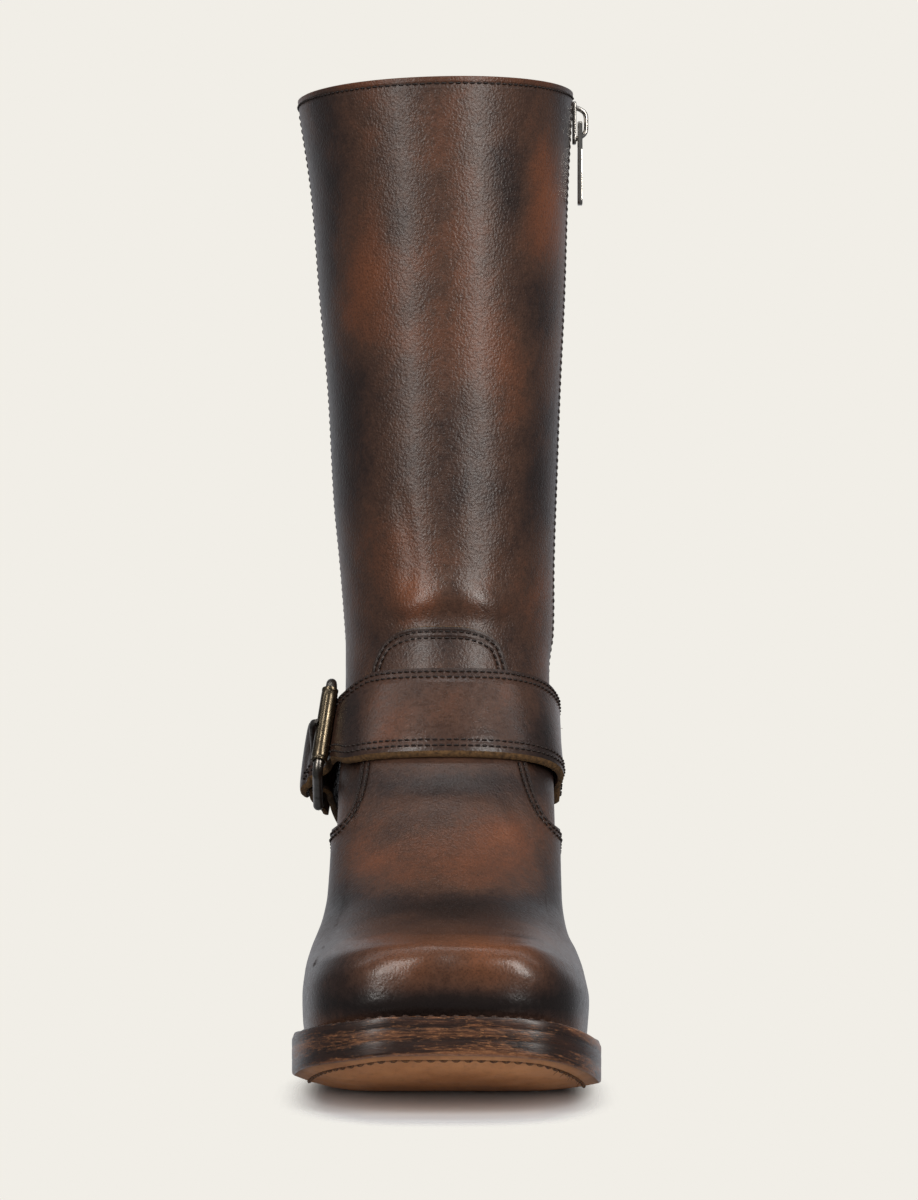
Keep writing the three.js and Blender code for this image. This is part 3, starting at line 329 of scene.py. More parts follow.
def stroke(x, y, points, width):
    """How near a place is to a line drawn through points: one on it, nought a width away."""
    points = np.asarray(points, float)
    best = np.full(np.shape(x), 1e9)
    for (ax, ay), (bx, by) in zip(points[:-1], points[1:]):
        dx, dy = bx - ax, by - ay
        t = np.clip(((x - ax) * dx + (y - ay) * dy) / (dx * dx + dy * dy), 0, 1)
        best = np.minimum(best, np.hypot(x - ax - t * dx, y - ay - t * dy))
    return np.exp(-((best / width) ** 2))


# Creases and soft swells seen from the front: depth in mm (troughs below nought), width and points
# in pixels of the photograph.
FRONT_RELIEF = [
    (1.7, 17, [(410, 603), (450, 595), (495, 603)]),
    (-0.7, 12, [(395, 622), (450, 618), (500, 622)]),
    (-0.4, 9, [(400, 500), (412, 560), (405, 600)]),
    (-0.35, 10, [(520, 640), (500, 600), (505, 560)]),
    (-0.25, 14, [(470, 420), (486, 500), (478, 570)]),
    (-0.2, 8, [(405, 796), (440, 790), (480, 796)]),
    (0.25, 9, [(395, 812), (440, 805), (490, 812)]),
    (-0.3, 7, [(512, 812), (523, 836), (528, 848)]),
    (0.2, 7, [(500, 812), (510, 836), (516, 850)]),
    (-0.3, 7, [(348, 838), (362, 828), (384, 824)]),
    (-0.9, 16, [(350, 908), (450, 902), (545, 908)]),
    (0.8, 9, [(345, 946), (395, 938), (450, 935), (505, 936), (548, 946)]),
    (-0.35, 8, [(335, 925), (352, 905), (385, 895)]),
    (-0.3, 8, [(560, 930), (545, 908), (520, 896)]),
    (1.3, 18, [(524, 958), (540, 976)]),
    (0.9, 18, [(430, 960), (418, 978)]),
    (-0.35, 18, [(468, 966), (472, 990)]),
]


def relief(form, normals):
    x, y = photo_place(form)
    return facing(normals) * sum(depth * stroke(x, y, points, width) for depth, width, points in FRONT_RELIEF)


FORM, LENGTHS = build_form()
NORMALS = form_normals(FORM)
FORM = FORM + NORMALS * relief(FORM, NORMALS)[..., None]
NORMALS = form_normals(FORM)


def sample(grid, u, level):
    """A grid over turns and levels, read between its points."""
    u = np.mod(np.asarray(u, float), 1) * TURNS
    level = np.clip(np.asarray(level, float), 0, TOP)
    i = np.clip(np.searchsorted(LEVELS, level, side="right") - 1, 0, len(LEVELS) - 2)
    t = ((level - LEVELS[i]) / (LEVELS[i + 1] - LEVELS[i]))[..., None]
    j = np.floor(u).astype(int) % TURNS
    s = (u - np.floor(u))[..., None]
    k = (j + 1) % TURNS
    low = grid[i, j] * (1 - s) + grid[i, k] * s
    high = grid[i + 1, j] * (1 - s) + grid[i + 1, k] * s
    return low * (1 - t) + high * t


def normal(u, level):
    return unit(sample(NORMALS, u, level))


def surface(u, level, distance=0.0):
    return sample(FORM, u, level) + normal(u, level) * np.asarray(distance)[..., None]


def turn_length(level):
    return np.interp(level, LEVELS, LENGTHS)


def turn_at(level, y, inner):
    """Where a section's side passes a place along the foot."""
    half = TURNS // 2
    row = sample(FORM, np.arange(half + 1) / TURNS * (1 if inner else -1), np.full(half + 1, level))
    share = np.interp(-y, -row[:, 1], np.arange(half + 1) / TURNS)
    return share if inner else 1 - share


def level_for(u, z):
    column = sample(FORM, np.full(len(LEVELS), u), LEVELS)[:, 2]
    return float(np.interp(z, np.maximum.accumulate(column), LEVELS))


# Meshes

class Build:
    """Collects points, faces, values and places on a flat map, and makes one mesh of them."""

    def __init__(self):
        self.points = []
        self.faces = []
        self.kinds = []
        self.maps = []
        self.values = {}
        self.count = 0

    def add(self, points, faces, kind=0, flat=None, **values):
        points = np.asarray(points, float).reshape(-1, 3)
        faces = np.asarray(faces, int).reshape(-1, 4)
        self.points.append(points)
        self.faces.append(faces + self.count)
        self.kinds.append(np.full(len(faces), kind))
        self.maps.append(np.zeros((len(points), 2)) if flat is None else np.asarray(flat, float).reshape(-1, 2))
        for name in {**self.values, **values}:
            known = self.values.setdefault(name, [np.zeros(self.count)])
            known.append(np.broadcast_to(np.ravel(values.get(name, 0.0)).astype(float), (len(points),)))
        self.count += len(points)
        return self

    def grid(self, grid, kind=0, closed=False, flip=False, flat=None, **values):
        rows, columns = grid.shape[:2]
        return self.add(grid, grid_faces(rows, columns, closed, flip), kind, flat, **values)

    def plain(self, name, materials, sharp=None):
        """Makes the object, on no body."""
        mesh = bpy.data.meshes.new(name)
        points = np.concatenate(self.points) / 1000
        faces = np.concatenate(self.faces)
        mesh.vertices.add(len(points))
        mesh.vertices.foreach_set("co", points.astype(np.float32).ravel())
        mesh.loops.add(faces.size)
        mesh.loops.foreach_set("vertex_index", faces.astype(np.int32).ravel())
        mesh.polygons.add(len(faces))
        mesh.polygons.foreach_set("loop_start", np.arange(0, faces.size, 4, dtype=np.int32))
        mesh.polygons.foreach_set("material_index", np.concatenate(self.kinds).astype(np.int32))
        flat = np.concatenate(self.maps)[faces.ravel()]
        layer = mesh.uv_layers.new(name="flat")
        layer.data.foreach_set("uv", flat.astype(np.float32).ravel())
        for key, parts in self.values.items():
            attribute = mesh.attributes.new(key, "FLOAT", "POINT")
            attribute.data.foreach_set("value", np.concatenate(parts).astype(np.float32))
        mesh.update(calc_edges=True)
        mesh.validate(clean_customdata=False)
        for material in materials:
            mesh.materials.append(material)
        obj = bpy.data.objects.new(name, mesh)
        bpy.context.scene.collection.objects.link(obj)
        mesh.shade_smooth()
        if sharp:
            mesh.set_sharp_from_angle(angle=math.radians(sharp))
        return obj

    def make(self, name, materials, body="boot", replaced=(), slot="upper_leather", sharp=None):
        obj = self.plain(name, materials, sharp)
        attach(obj, body)
        if replaced:
            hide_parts(*replaced)
        return obj


def grid_faces(rows, columns, closed=False, flip=False):
    last = columns if closed else columns - 1
    r, c = np.meshgrid(np.arange(rows - 1), np.arange(last), indexing="ij")
    a = r * columns + c
    b = r * columns + (c + 1) % columns
    d = (r + 1) * columns + c
    e = (r + 1) * columns + (c + 1) % columns
    faces = np.stack([a, b, e, d], axis=-1).reshape(-1, 4)
    return faces[:, ::-1] if flip else faces


def rim(outer, inner, sideways, bulge, steps=4):
    """Rows that round an edge from its outer line to its inner one."""
    t = np.linspace(0, 1, steps + 1)[:, None, None]
    return outer[None] * (1 - t) + inner[None] * t + sideways[None] * bulge * np.sin(np.pi * t)


def tube(path, radius, sides=12, closed=False):
    """A round wire along a path; radius may change along it."""
    path = np.asarray(path, float)
    if closed:
        tangent = unit(np.roll(path, -1, axis=0) - np.roll(path, 1, axis=0))
    else:
        tangent = unit(np.gradient(path, axis=0))
    frames = [unit(np.cross(tangent[0], [0.3, 0.5, 0.8]))]
    for t in tangent[1:]:
        frames.append(unit(frames[-1] - t * np.dot(frames[-1], t)))
    side = np.array(frames)
    other = np.cross(tangent, side)
    angle = circle(sides)
    ring = side[:, None] * np.cos(angle)[None, :, None] + other[:, None] * np.sin(angle)[None, :, None]
    grid = path[:, None] + ring * np.broadcast_to(radius, (len(path),))[:, None, None]
    return np.concatenate([grid, grid[:1]]) if closed else grid


def add_tubes(build, points, flip=False):
    """Adds many small tubes of one kind, given by tube, row and side."""
    count, rows, sides = points.shape[:3]
    one = grid_faces(rows, sides, closed=True, flip=flip)
    build.add(points, one[None] + (np.arange(count) * rows * sides)[:, None, None])


# Sewing: every stitch is a short thread whose ends go down into the leather
STITCH_T = np.array([-0.5, -0.4, -0.15, 0.15, 0.4, 0.5])
STITCH_R = np.array([0.35, 0.85, 1.0, 1.0, 0.85, 0.35])
STITCH_H = np.array([-0.7, 0.0, 0.55, 0.55, 0.0, -0.7])
STITCH_SIDES = 6
STITCH_ROWS = (1.7, 4.1)


def stitches(build, path, normals, pitch=2.5, thick=0.36, share=0.8):
    """Stitches along a line of points on a surface, at an even pitch."""
    run = run_along(path)
    count = max(1, int(run[-1] / pitch))
    at = (np.arange(count) + 0.5) * run[-1] / count
    out = unit(read_line(normals, run, at))
    ahead = read_line(path, run, at + 0.2) - read_line(path, run, at - 0.2)
    ahead = unit(ahead - out * np.sum(ahead * out, axis=1, keepdims=True))
    side = np.cross(out, ahead)
    wobble = 0.06 * np.sin(at * 12.9898)[:, None]
    centre = read_line(path, run, at) + side * wobble * thick * 2
    angle = circle(STITCH_SIDES)
    across = np.cos(angle) * STITCH_R[:, None] * thick
    upward = (np.sin(angle) * STITCH_R[:, None] + STITCH_H[:, None]) * thick
    along_it = (STITCH_T * pitch * share)[:, None]
    ahead, side, out, centre = (v[:, None, None] for v in (ahead, side, out, centre))
    add_tubes(build, centre + ahead * along_it[..., None] + side * across[..., None] + out * upward[..., None])


# Colours: soft patches seen from the front, as amount, half width, half height and middle, the
# lengths in pixels of the photograph. The first table is the leather's own warm and dark tone together
# with painted shade: darker down the sides of the shaft and strap, under the strap, in the crease behind
# the toe cap, at the toe's sides and along its foot by the welt. The second is a painted orange
# highlight on the toe cap's crest and front.
TONE_AND_SHADE_PATCHES = [
    (0.55, 22, 72, 546, 205), (0.12, 40, 70, 443, 130), (0.34, 30, 48, 374, 270),
    (0.2, 26, 34, 352, 322), (0.22, 50, 44, 500, 348), (0.18, 46, 26, 402, 336),
    (0.24, 30, 60, 412, 565), (0.16, 18, 62, 546, 590), (0.08, 20, 60, 360, 560),
    (0.14, 20, 40, 524, 430), (0.14, 30, 60, 470, 262), (0.2, 22, 26, 412, 592),
    (0.1, 30, 24, 376, 730), (-0.12, 34, 24, 512, 737), (0.08, 50, 22, 440, 725),
    (-0.3, 16, 40, 350, 720), (-0.25, 12, 40, 545, 745), (0.2, 54, 28, 492, 862),
    (0.2, 50, 30, 392, 864), (0.26, 34, 18, 506, 834), (-0.3, 24, 60, 512, 190),
    (-0.22, 18, 60, 395, 210), (-0.3, 18, 300, 322, 240), (-0.34, 22, 110, 345, 430),
    (-0.2, 30, 60, 455, 470), (-0.36, 20, 46, 540, 305), (-0.34, 24, 80, 545, 470),
    (-0.32, 16, 120, 568, 120), (-0.34, 110, 14, 440, 785), (-0.5, 105, 14, 455, 908),
    (-0.3, 22, 50, 562, 900), (-0.34, 22, 60, 330, 905), (-0.1, 80, 26, 450, 645),
    (-0.7, 150, 13, 450, 1004), (-0.3, 26, 30, 318, 975), (-0.3, 26, 30, 578, 985),
]
# painted highlight: orange light on the toe cap's crest and on two spots of its front
TOE_HIGHLIGHT_PATCHES = [
    (0.4, 40, 22, 500, 956), (0.42, 30, 20, 398, 963), (0.34, 90, 11, 460, 940), (0.12, 40, 14, 462, 972),
]
GLOSS = [(0.9, 52, 15, 455, 598)]


def patches(x, y, table):
    return sum(amount * np.exp(-((x - cx) / wide) ** 2 - ((y - cy) / high) ** 2)
               for amount, wide, high, cx, cy in table)


def mottle(p, size, seed=0.0):
    """A smooth, uneven value about nought over space, with features of about the size in mm."""
    total = np.zeros(p.shape[:-1])
    ways = ((1, 0.3, 0.2), (-0.4, 1, 0.5), (0.3, -0.6, 1), (0.8, 0.7, -0.5), (-0.9, 0.2, 0.8), (0.1, 1.1, -0.7))
    for k, way in enumerate(ways):
        phase = p @ np.array(way) * (2 * np.pi / size) * (0.7 + 0.13 * k)
        total += np.sin(phase + seed + 1.7 * k + 0.8 * np.sin(phase * 0.37 + k))
    return total / 3


def leather_values(points, normals, edge, rows, burnish):
    """What the leather's material reads: its warmth with painted shade, its painted orange highlight on the toe, its
    edge and stitch rows, its gloss.
    """
    x, y = photo_place(points)
    near = facing(normals)
    # Facing the front, the patches give the leather's tone with painted shade in it
    front = 0.47 + patches(x, y, TONE_AND_SHADE_PATCHES)
    around = 0.42 + 0.26 * mottle(points, 95)
    return {
        "tone_and_shade": mix(around, front, near) + 0.05 * mottle(points, 17, 2.0),
        # painted highlight: orange light on the toe cap
        "painted_toe_highlight": patches(x, y, TOE_HIGHLIGHT_PATCHES) * near,
        "groove": np.max([np.exp(-(((edge - row) / 0.55) ** 2)) for row in rows], axis=0),
        "dark": np.exp(-np.maximum(edge - 0.6, 0) / burnish),
        "gloss": (ease((y - 915) / 45) + patches(x, y, GLOSS)) * near,
    }


def colour(text):
    """A written colour as the shader's linear one."""
    parts = [int(text[i:i + 2], 16) / 255 for i in (0, 2, 4)]
    return tuple(c / 12.92 if c <= 0.04045 else ((c + 0.055) / 1.055) ** 2.4 for c in parts) + (1.0,)


class Shader:
    """A material of procedural nodes."""

    def __init__(self, name, **fixed):
        self.material = bpy.data.materials.new(name)
        self.material.use_nodes = True
        self.tree = self.material.node_tree
        self.tree.nodes.clear()
        out = self.tree.nodes.new("ShaderNodeOutputMaterial")
        self.main = self.tree.nodes.new("ShaderNodeBsdfPrincipled")
        self.link(self.main.outputs[0], out.inputs[0])
        for key, value in fixed.items():
            self.main.inputs[key.replace("_", " ")].default_value = value

    def link(self, source, target):
        self.tree.links.new(source, target)

    def node(self, kind, inputs=None, out=0, **settings):
        node = self.tree.nodes.new(kind)
        for key, value in settings.items():
            setattr(node, key, value)
        for key, value in (inputs or {}).items():
            if isinstance(value, bpy.types.NodeSocket):
                self.link(value, node.inputs[key])
            else:
                node.inputs[key].default_value = value
        return node.outputs[out]

    def place(self, stretch=(1, 1, 1), flat=False):
        source = self.node("ShaderNodeTexCoord", out="UV" if flat else "Object")
        return self.node("ShaderNodeMapping", {"Vector": source, "Scale": stretch})

    def noise(self, place, scale, detail=4.0, rough=0.5, distortion=0.0):
        return self.node("ShaderNodeTexNoise", {
            "Vector": place, "Scale": scale, "Detail": detail, "Roughness": rough, "Distortion": distortion})

    def cells(self, place, scale):
        return self.node("ShaderNodeTexVoronoi", {"Vector": place, "Scale": scale}, feature="SMOOTH_F1")

    def read(self, name):
        return self.node("ShaderNodeAttribute", out="Fac", attribute_name=name)

    def math(self, operation, a, b=0.0, clamp=False):
        return self.node("ShaderNodeMath", {0: a, 1: b}, operation=operation, use_clamp=clamp)

    def times(self, a, b):
        return self.math("MULTIPLY", a, b)

    def plus(self, a, b):
        return self.math("ADD", a, b)

    def span(self, value, low, high, to_low=0.0, to_high=1.0):
        return self.node("ShaderNodeMapRange", {
            "Value": value, "From Min": low, "From Max": high, "To Min": to_low, "To Max": to_high})

    def ramp(self, value, stops):
        node = self.tree.nodes.new("ShaderNodeValToRGB")
        elements = node.color_ramp.elements
        while len(elements) < len(stops):
            elements.new(0.5)
        for element, (at, tint) in zip(elements, stops):
            element.position = at
            element.color = colour(tint)
        self.link(value, node.inputs[0])
        return node.outputs[0]

    def blend(self, amount, a, b):
        return self.node("ShaderNodeMix", {0: amount, 6: a, 7: b}, out=2, data_type="RGBA")

    def bump(self, height, distance, strength, under=None):
        inputs = {"Height": height, "Distance": distance / 1000, "Strength": strength}
        if under is not None:
            inputs["Normal"] = under
        return self.node("ShaderNodeBump", inputs)

    def set(self, tint, rough, bumped):
        for key, value in (("Base Color", tint), ("Roughness", rough), ("Normal", bumped)):
            self.link(value, self.main.inputs[key])
        return self.material


def make_leather(name, grain=1.0):
    """Burnished leather: warm and dark patches with painted shade among them, a painted orange highlight on the toe,
    pores, grain and stitch grooves.
    """
    s = Shader(name, Specular_IOR_Level=0.42, Coat_Weight=0.16, Coat_Roughness=0.3, Coat_IOR=1.45)
    place = s.place()
    fine = s.noise(place, 420, 3, 0.6)
    gloss = s.read("gloss")
    # the leather's tone, with the painted shade of its patches
    tone_and_shade = s.plus(s.read("tone_and_shade"), s.span(s.noise(place, 38, 3, 0.55), 0.3, 0.7, -0.09, 0.09))
    tone_and_shade = s.plus(tone_and_shade, s.span(fine, 0.3, 0.7, -0.07, 0.07))
    tint = s.ramp(tone_and_shade, [(0.0, "1c1513"), (0.25, "30221d"), (0.5, "4d3529"), (0.75, "673f2b"), (1.0, "77462c")])
    # painted highlight: orange light on the toe cap
    tint = s.blend(s.read("painted_toe_highlight"), tint, colour("7f4a28"))
    pores = s.cells(place, 1500)
    tint = s.blend(s.span(pores, 0.1, 0.45, 0.4, 0.0), tint, colour("120c0a"))
    tint = s.blend(s.times(s.read("dark"), 0.6), tint, colour("1a1210"))
    wide = s.cells(s.place((1, 1, 0.9)), 1050)
    height = s.plus(s.times(wide, 0.7), s.times(pores, 0.5))
    height = s.plus(height, s.times(s.noise(place, 2200, 2, 0.6), 0.25))
    height = s.times(height, s.math("SUBTRACT", 1.0, s.times(gloss, 0.65)))
    bumped = s.bump(height, 0.3 * grain, 0.85)
    bumped = s.bump(s.noise(place, 120, 2, 0.5), 0.5, 0.03, bumped)
    bumped = s.bump(s.times(s.read("groove"), -1.0), 0.5, 0.9, bumped)
    rough = s.plus(s.span(fine, 0.3, 0.7, 0.33, 0.43), s.times(s.read("dark"), 0.06))
    return s.set(tint, s.math("SUBTRACT", rough, s.times(gloss, 0.1)), bumped)


def make_plain(name, tint, stops, height, bump, dull, spread, **fixed):
    """A material of three noises: one for its tint, one for its relief and one for its gloss."""
    s = Shader(name, **fixed)
    place = s.place()
    return s.set(s.ramp(s.noise(place, *tint), stops), s.span(s.noise(place, dull), 0.3, 0.7, *spread),
                 s.bump(s.noise(place, *height), *bump))


def make_edge(name, light, deep):
    """The cut edge of leather: tan and fibrous."""
    return make_plain(name, (700, 5, 0.7), [(0.3, deep), (0.62, light)], (1800, 3, 0.7), (0.3, 0.8),
                      300, (0.7, 0.9), Specular_IOR_Level=0.25)


def make_thread(name, light, deep):
    return make_plain(name, (1500, 2), [(0.35, deep), (0.7, light)], (3500, 2), (0.12, 0.7),
                      900, (0.45, 0.7), Specular_IOR_Level=0.4)


def make_sole_edge(name):
    """Dark burnished leather with tan scuffs drawn along the sole's edge, and painted shade where the welt's top runs
    in under the upper.
    """
    s = Shader(name, Specular_IOR_Level=0.5, Coat_Weight=0.2, Coat_Roughness=0.28)
    flat = s.place(flat=True)
    streaks = s.noise(s.place((1.5, 2.0, 1), flat=True), 11, 5, 0.7, 0.5)
    broad = s.noise(flat, 2.6, 3, 0.5, 0.5)
    scratch = s.noise(s.place((1.8, 0.7, 1), flat=True), 24, 4, 0.7)
    amount = s.plus(s.span(streaks, 0.47, 0.66), s.span(broad, 0.38, 0.62, -0.9, 0.2))
    amount = s.plus(amount, s.times(s.span(scratch, 0.56, 0.64), 0.6))
    amount = s.math("ADD", amount, s.read("rubbed"), clamp=True)
    base = s.ramp(s.noise(flat, 5, 4, 0.6), [(0.3, "1a1210"), (0.55, "2f1e17"), (0.75, "44291d")])
    tint = s.blend(s.times(amount, 0.72), base, s.ramp(scratch, [(0.35, "7a4a30"), (0.7, "b07a50")]))
    # darker at the layer lines and the heel's seams, and painted shade on the welt's top under the upper
    tint = s.blend(s.times(s.read("dark"), 0.8), tint, colour("120c0b"))
    bumped = s.bump(s.noise(flat, 60, 3), 0.12, 0.35, s.bump(scratch, 0.25, 0.4))
    return s.set(tint, s.span(streaks, 0.35, 0.7, 0.26, 0.46), bumped)


def make_natural(name, light, deep, rough):
    """Natural sole leather, with faint long fibres."""
    s = Shader(name, Specular_IOR_Level=0.35)
    place = s.place()
    fibres = s.span(s.noise(s.place((1, 0.25, 1)), 420, 4, 0.7), 0.5, 0.75)
    tint = s.ramp(s.noise(place, 45, 5, 0.6), [(0.3, deep), (0.7, light)])
    tint = s.blend(s.times(fibres, 0.35), tint, colour("7d5233"))
    tint = s.blend(s.times(s.read("dark"), 0.85), tint, colour("3c261a"))
    return s.set(tint, s.span(s.noise(place, 120), 0.3, 0.7, *rough), s.bump(s.noise(place, 900, 3, 0.6), 0.15, 0.5))


def make_metal(name, bright, dull, dirt, rough, patch=0.5):
    """Worn plated metal: bright where rubbed, dull in patches, dark in its pits."""
    s = Shader(name, Metallic=1.0)
    place = s.place()
    wear = s.noise(place, 210, 5, 0.65)
    tint = s.ramp(wear, [(0.32, dull), (0.32 + patch * 0.5, bright)])
    tint = s.blend(s.span(s.noise(place, 900, 4, 0.7), 0.6, 0.74, 0.0, 0.8), tint, colour(dirt))
    return s.set(tint, s.span(wear, 0.3, 0.7, rough[1], rough[0]), s.bump(s.noise(place, 1400, 3, 0.6), 0.012, 0.3))


def make_tape(name):
    s = Shader(name, Specular_IOR_Level=0.2, Sheen_Weight=0.2)
    place = s.place()
    weave = s.node("ShaderNodeTexWave", {"Vector": place, "Scale": 420.0, "Distortion": 0.6}, out="Fac",
                   bands_direction="Z")
    tint = s.ramp(weave, [(0.2, "0d0a09"), (0.8, "201815")])
    return s.set(tint, s.span(s.noise(place, 400), 0.3, 0.7, 0.8, 0.95), s.bump(weave, 0.15, 0.7))


LEATHER = make_leather("shaft_leather")
VAMP_LEATHER = make_leather("vamp_leather", grain=0.75)
STRAP_LEATHER = make_leather("strap_leather", grain=0.9)
RAW_EDGE = make_edge("raw_edge", "745738", "37291c")
COLLAR_EDGE = make_edge("collar_edge", "6a4531", "3a251b")
THREAD = make_thread("dark_thread", "2a1a12", "120b09")
WELT_THREAD = make_thread("welt_thread", "4a2f20", "1d120d")
FRAY = make_thread("frayed_thread", "7a5534", "3b2618")
SOLE_EDGE = make_sole_edge("sole_edge")
NATURAL = make_natural("natural_sole", "d39867", "b47a4d", (0.5, 0.7))
LINING = make_natural("lining", "8b6444", "6a4a32", (0.55, 0.75))
INSOLE = make_natural("insole", "7c5638", "5b3d28", (0.5, 0.7))
FLESH = make_plain("flesh_side", (160, 5, 0.65), [(0.3, "3b271a"), (0.7, "6b452b")], (1300, 4, 0.7), (0.4, 0.8),
                   300, (0.75, 0.95), Specular_IOR_Level=0.2, Sheen_Weight=0.25, Sheen_Roughness=0.5)
RUBBER = make_plain("heel_rubber", (240, 4), [(0.3, "15110f"), (0.7, "231d1a")], (1500, 3), (0.15, 0.6),
                    90, (0.55, 0.75), Specular_IOR_Level=0.4)
TEETH = make_metal("zip_teeth_metal", "7d7973", "5d5954", "2c2824", (0.34, 0.44), 0.4)
NICKEL = make_metal("zip_nickel", "cfcbc4", "8f8b84", "2c2824", (0.16, 0.32), 0.4)
PEWTER = make_metal("buckle_pewter", "85807a", "57524c", "2a2521", (0.26, 0.4))
BRASS = make_metal("roller_brass", "7c705c", "554b3e", "30281f", (0.2, 0.34))
TAPE = make_tape("zip_tape")


# Upper: the outer skin with the zip's slot, its cut edges, and the lining

ZIP_Y = -8.0
ZIP_DRIFT = 14.0
ZIP_SLOT = 7.0
ZIP_BOTTOM = 64.0
ZIP_LEVELS = np.linspace(40, TOP, 90)
ZIP_TURNS = np.array([turn_at(v, ZIP_Y - ZIP_DRIFT * (1 - v / TOP), True) for v in ZIP_LEVELS])


def zip_turn(level):
    return np.interp(level, ZIP_LEVELS, ZIP_TURNS)


def slot_half(level):
    """Half the slot's width as a share of the way round."""
    opened = np.sqrt(np.clip((level - ZIP_BOTTOM) / 4, 0, 1))
    return (0.03 + ZIP_SLOT / 2 * opened) / turn_length(level)


def upper_grid(levels, columns, distance):
    """The upper's grid from one side of the zip's slot round to the other, and its turns."""
    half = slot_half(levels)[:, None]
    u = zip_turn(levels)[:, None] + half + np.linspace(0, 1, columns)[None] * (1 - 2 * half)
    return surface(u, levels[:, None], distance), u


SEAM_LEVELS = np.linspace(24, TOP, 90)
SEAM_TURNS = np.array([turn_at(v, -4 - 10 * (1 - v / TOP), False) for v in SEAM_LEVELS])
COLUMNS = 288


def seam_turn(levels):
    """Where the seam up the outer side runs."""
    return np.interp(levels, SEAM_LEVELS, SEAM_TURNS)


def make_upper():
    levels = np.concatenate([
        np.linspace(0, 26, 8), np.arange(28.5, 112, 0.95), np.linspace(112.5, TOP - 2.4, 138),
        [TOP - 1.4, TOP - 0.6, TOP - 0.15, TOP]])
    grid, turns = upper_grid(levels, COLUMNS, 0.0)
    normals = unit(upper_grid(levels, COLUMNS, 1.0)[0] - grid)
    inner, _ = upper_grid(levels, COLUMNS, -WALL)
    down = np.maximum(TOP - levels, 0)[:, None] + 0 * turns
    length = turn_length(levels)[:, None]
    s = np.linspace(0, 1, COLUMNS)
    side = np.minimum(s, 1 - s)[None] * length
    side = np.where(levels[:, None] > ZIP_BOTTOM, side, np.hypot(side, ZIP_BOTTOM - levels[:, None]))
    seam = np.abs(np.mod(turns, 1) - seam_turn(levels)[:, None]) * length
    values = leather_values(grid, normals, np.minimum(down, side), (2.2,), 2.5)
    strip = np.exp(-((down / 1.9) ** 4))
    values["tone_and_shade"] = values["tone_and_shade"] + 0.25 * strip
    values["dark"] = values["dark"] * (1 - 0.75 * strip)
    values["groove"] = np.maximum(values["groove"], np.exp(-((seam / 0.5) ** 2)))
    values["dark"] = np.maximum(values["dark"], 0.8 * np.exp(-seam / 2.5))
    build = Build().grid(grid, 0, flip=True, **values)
    build.grid(rim(grid[-1], inner[-1], np.array([0.0, 0.0, 1.0]) + 0 * grid[-1], 0.35), 1, flip=True)
    for column, near in ((0, 1), (-1, -2)):
        sideways = unit(grid[:, column] - grid[:, near])
        build.grid(rim(grid[:, column], inner[:, column], sideways, 0.4), 2, flip=column == 0)
    build.make("upper_shaft", [LEATHER, COLLAR_EDGE, RAW_EDGE], replaced=["upper"], sharp=70)

    rows = np.concatenate([[0.0, 6, 12, 18], np.arange(24, 104, 3.2), np.linspace(107, TOP - 0.2, 36)])
    inside, _ = upper_grid(rows, 120, -WALL + 0.05)
    Build().grid(inside, 0).make("upper_lining", [LINING], slot="insole_leather")


make_upper()


# Overlays: the vamp with its tongue, and the counter

def edge_level(edge, across):
    return curve(edge[:, 0], edge[:, 1])(np.abs(across)) * INSTEP


def overlay_grid(edge, centre, across, shares, distance, drift):
    """The overlay's grid; drift moves its highest part towards the outer side."""
    levels = edge_level(edge, across)[None] * shares[:, None]
    return surface(centre + across[None] / 2 + drift * ease((levels - 45) / 35), levels, distance)


def boundary_distance(points, line):
    """How far points are from a dense line of points, both in mm."""
    tree = kdtree.KDTree(len(line))
    for i, p in enumerate(line):
        tree.insert(p, i)
    tree.balance()
    flat = points.reshape(-1, 3)
    return np.array([tree.find(p)[2] for p in flat]).reshape(points.shape[:-1])


def inset_line(line, normals, distance, side):
    """A line moved across a surface, to its left or right."""
    ahead = unit(np.gradient(line, axis=0))
    return line + unit(np.cross(normals, ahead)) * distance * side


def resample(line, normals, step):
    run = run_along(line)
    at = np.linspace(0, run[-1], max(2, int(run[-1] / step)))
    return read_line(line, run, at), unit(read_line(normals, run, at))


def make_overlay(name, edge, centre, reach, columns, rows, material, replaced, steep=0.0, drift=0.0):
    """An overlay of leather with cut edges. Columns crowd where its edge is steep."""
    dense = np.linspace(-reach, reach, 4001)
    crowd = np.cumsum(1 + (4.0 if steep else 0.0) * np.exp(-(((np.abs(dense) - steep) / 0.03) ** 2)))
    across = np.interp(np.linspace(crowd[0], crowd[-1], columns), crowd, dense)
    shares = np.concatenate([np.linspace(0, 0.985, rows), [0.992, 0.9965, 1.0]])
    outer = overlay_grid(edge, centre, across, shares, GAP + OVERLAY, drift)
    inner = overlay_grid(edge, centre, across, shares, GAP, drift)
    normals = unit(outer - inner)
    border, border_normals = (np.concatenate([v[:, 0], v[-1], v[::-1, -1]]) for v in (outer, normals))
    line, line_normals = resample(border, border_normals, 0.8)
    values = leather_values(outer, normals, boundary_distance(outer, line), STITCH_ROWS, 3.2)
    build = Build().grid(outer, 0, flip=True, **values)
    build.grid(rim(outer[-1], inner[-1], unit(outer[-1] - outer[-8]), 0.35), 1, flip=True)
    for column, near in ((0, 3), (-1, -4)):
        sideways = unit(outer[:, column] - outer[:, near])
        build.grid(rim(outer[:, column], inner[:, column], sideways, 0.3), 1, flip=column == 0)
    build.make(name, [material, RAW_EDGE], replaced=replaced, sharp=60)
    middle = unit(np.cross(line_normals, np.gradient(line, axis=0)))
    towards = surface(centre, 12.0) - line
    return line, line_normals, np.sign(np.median(np.sum(middle * towards, axis=1)))


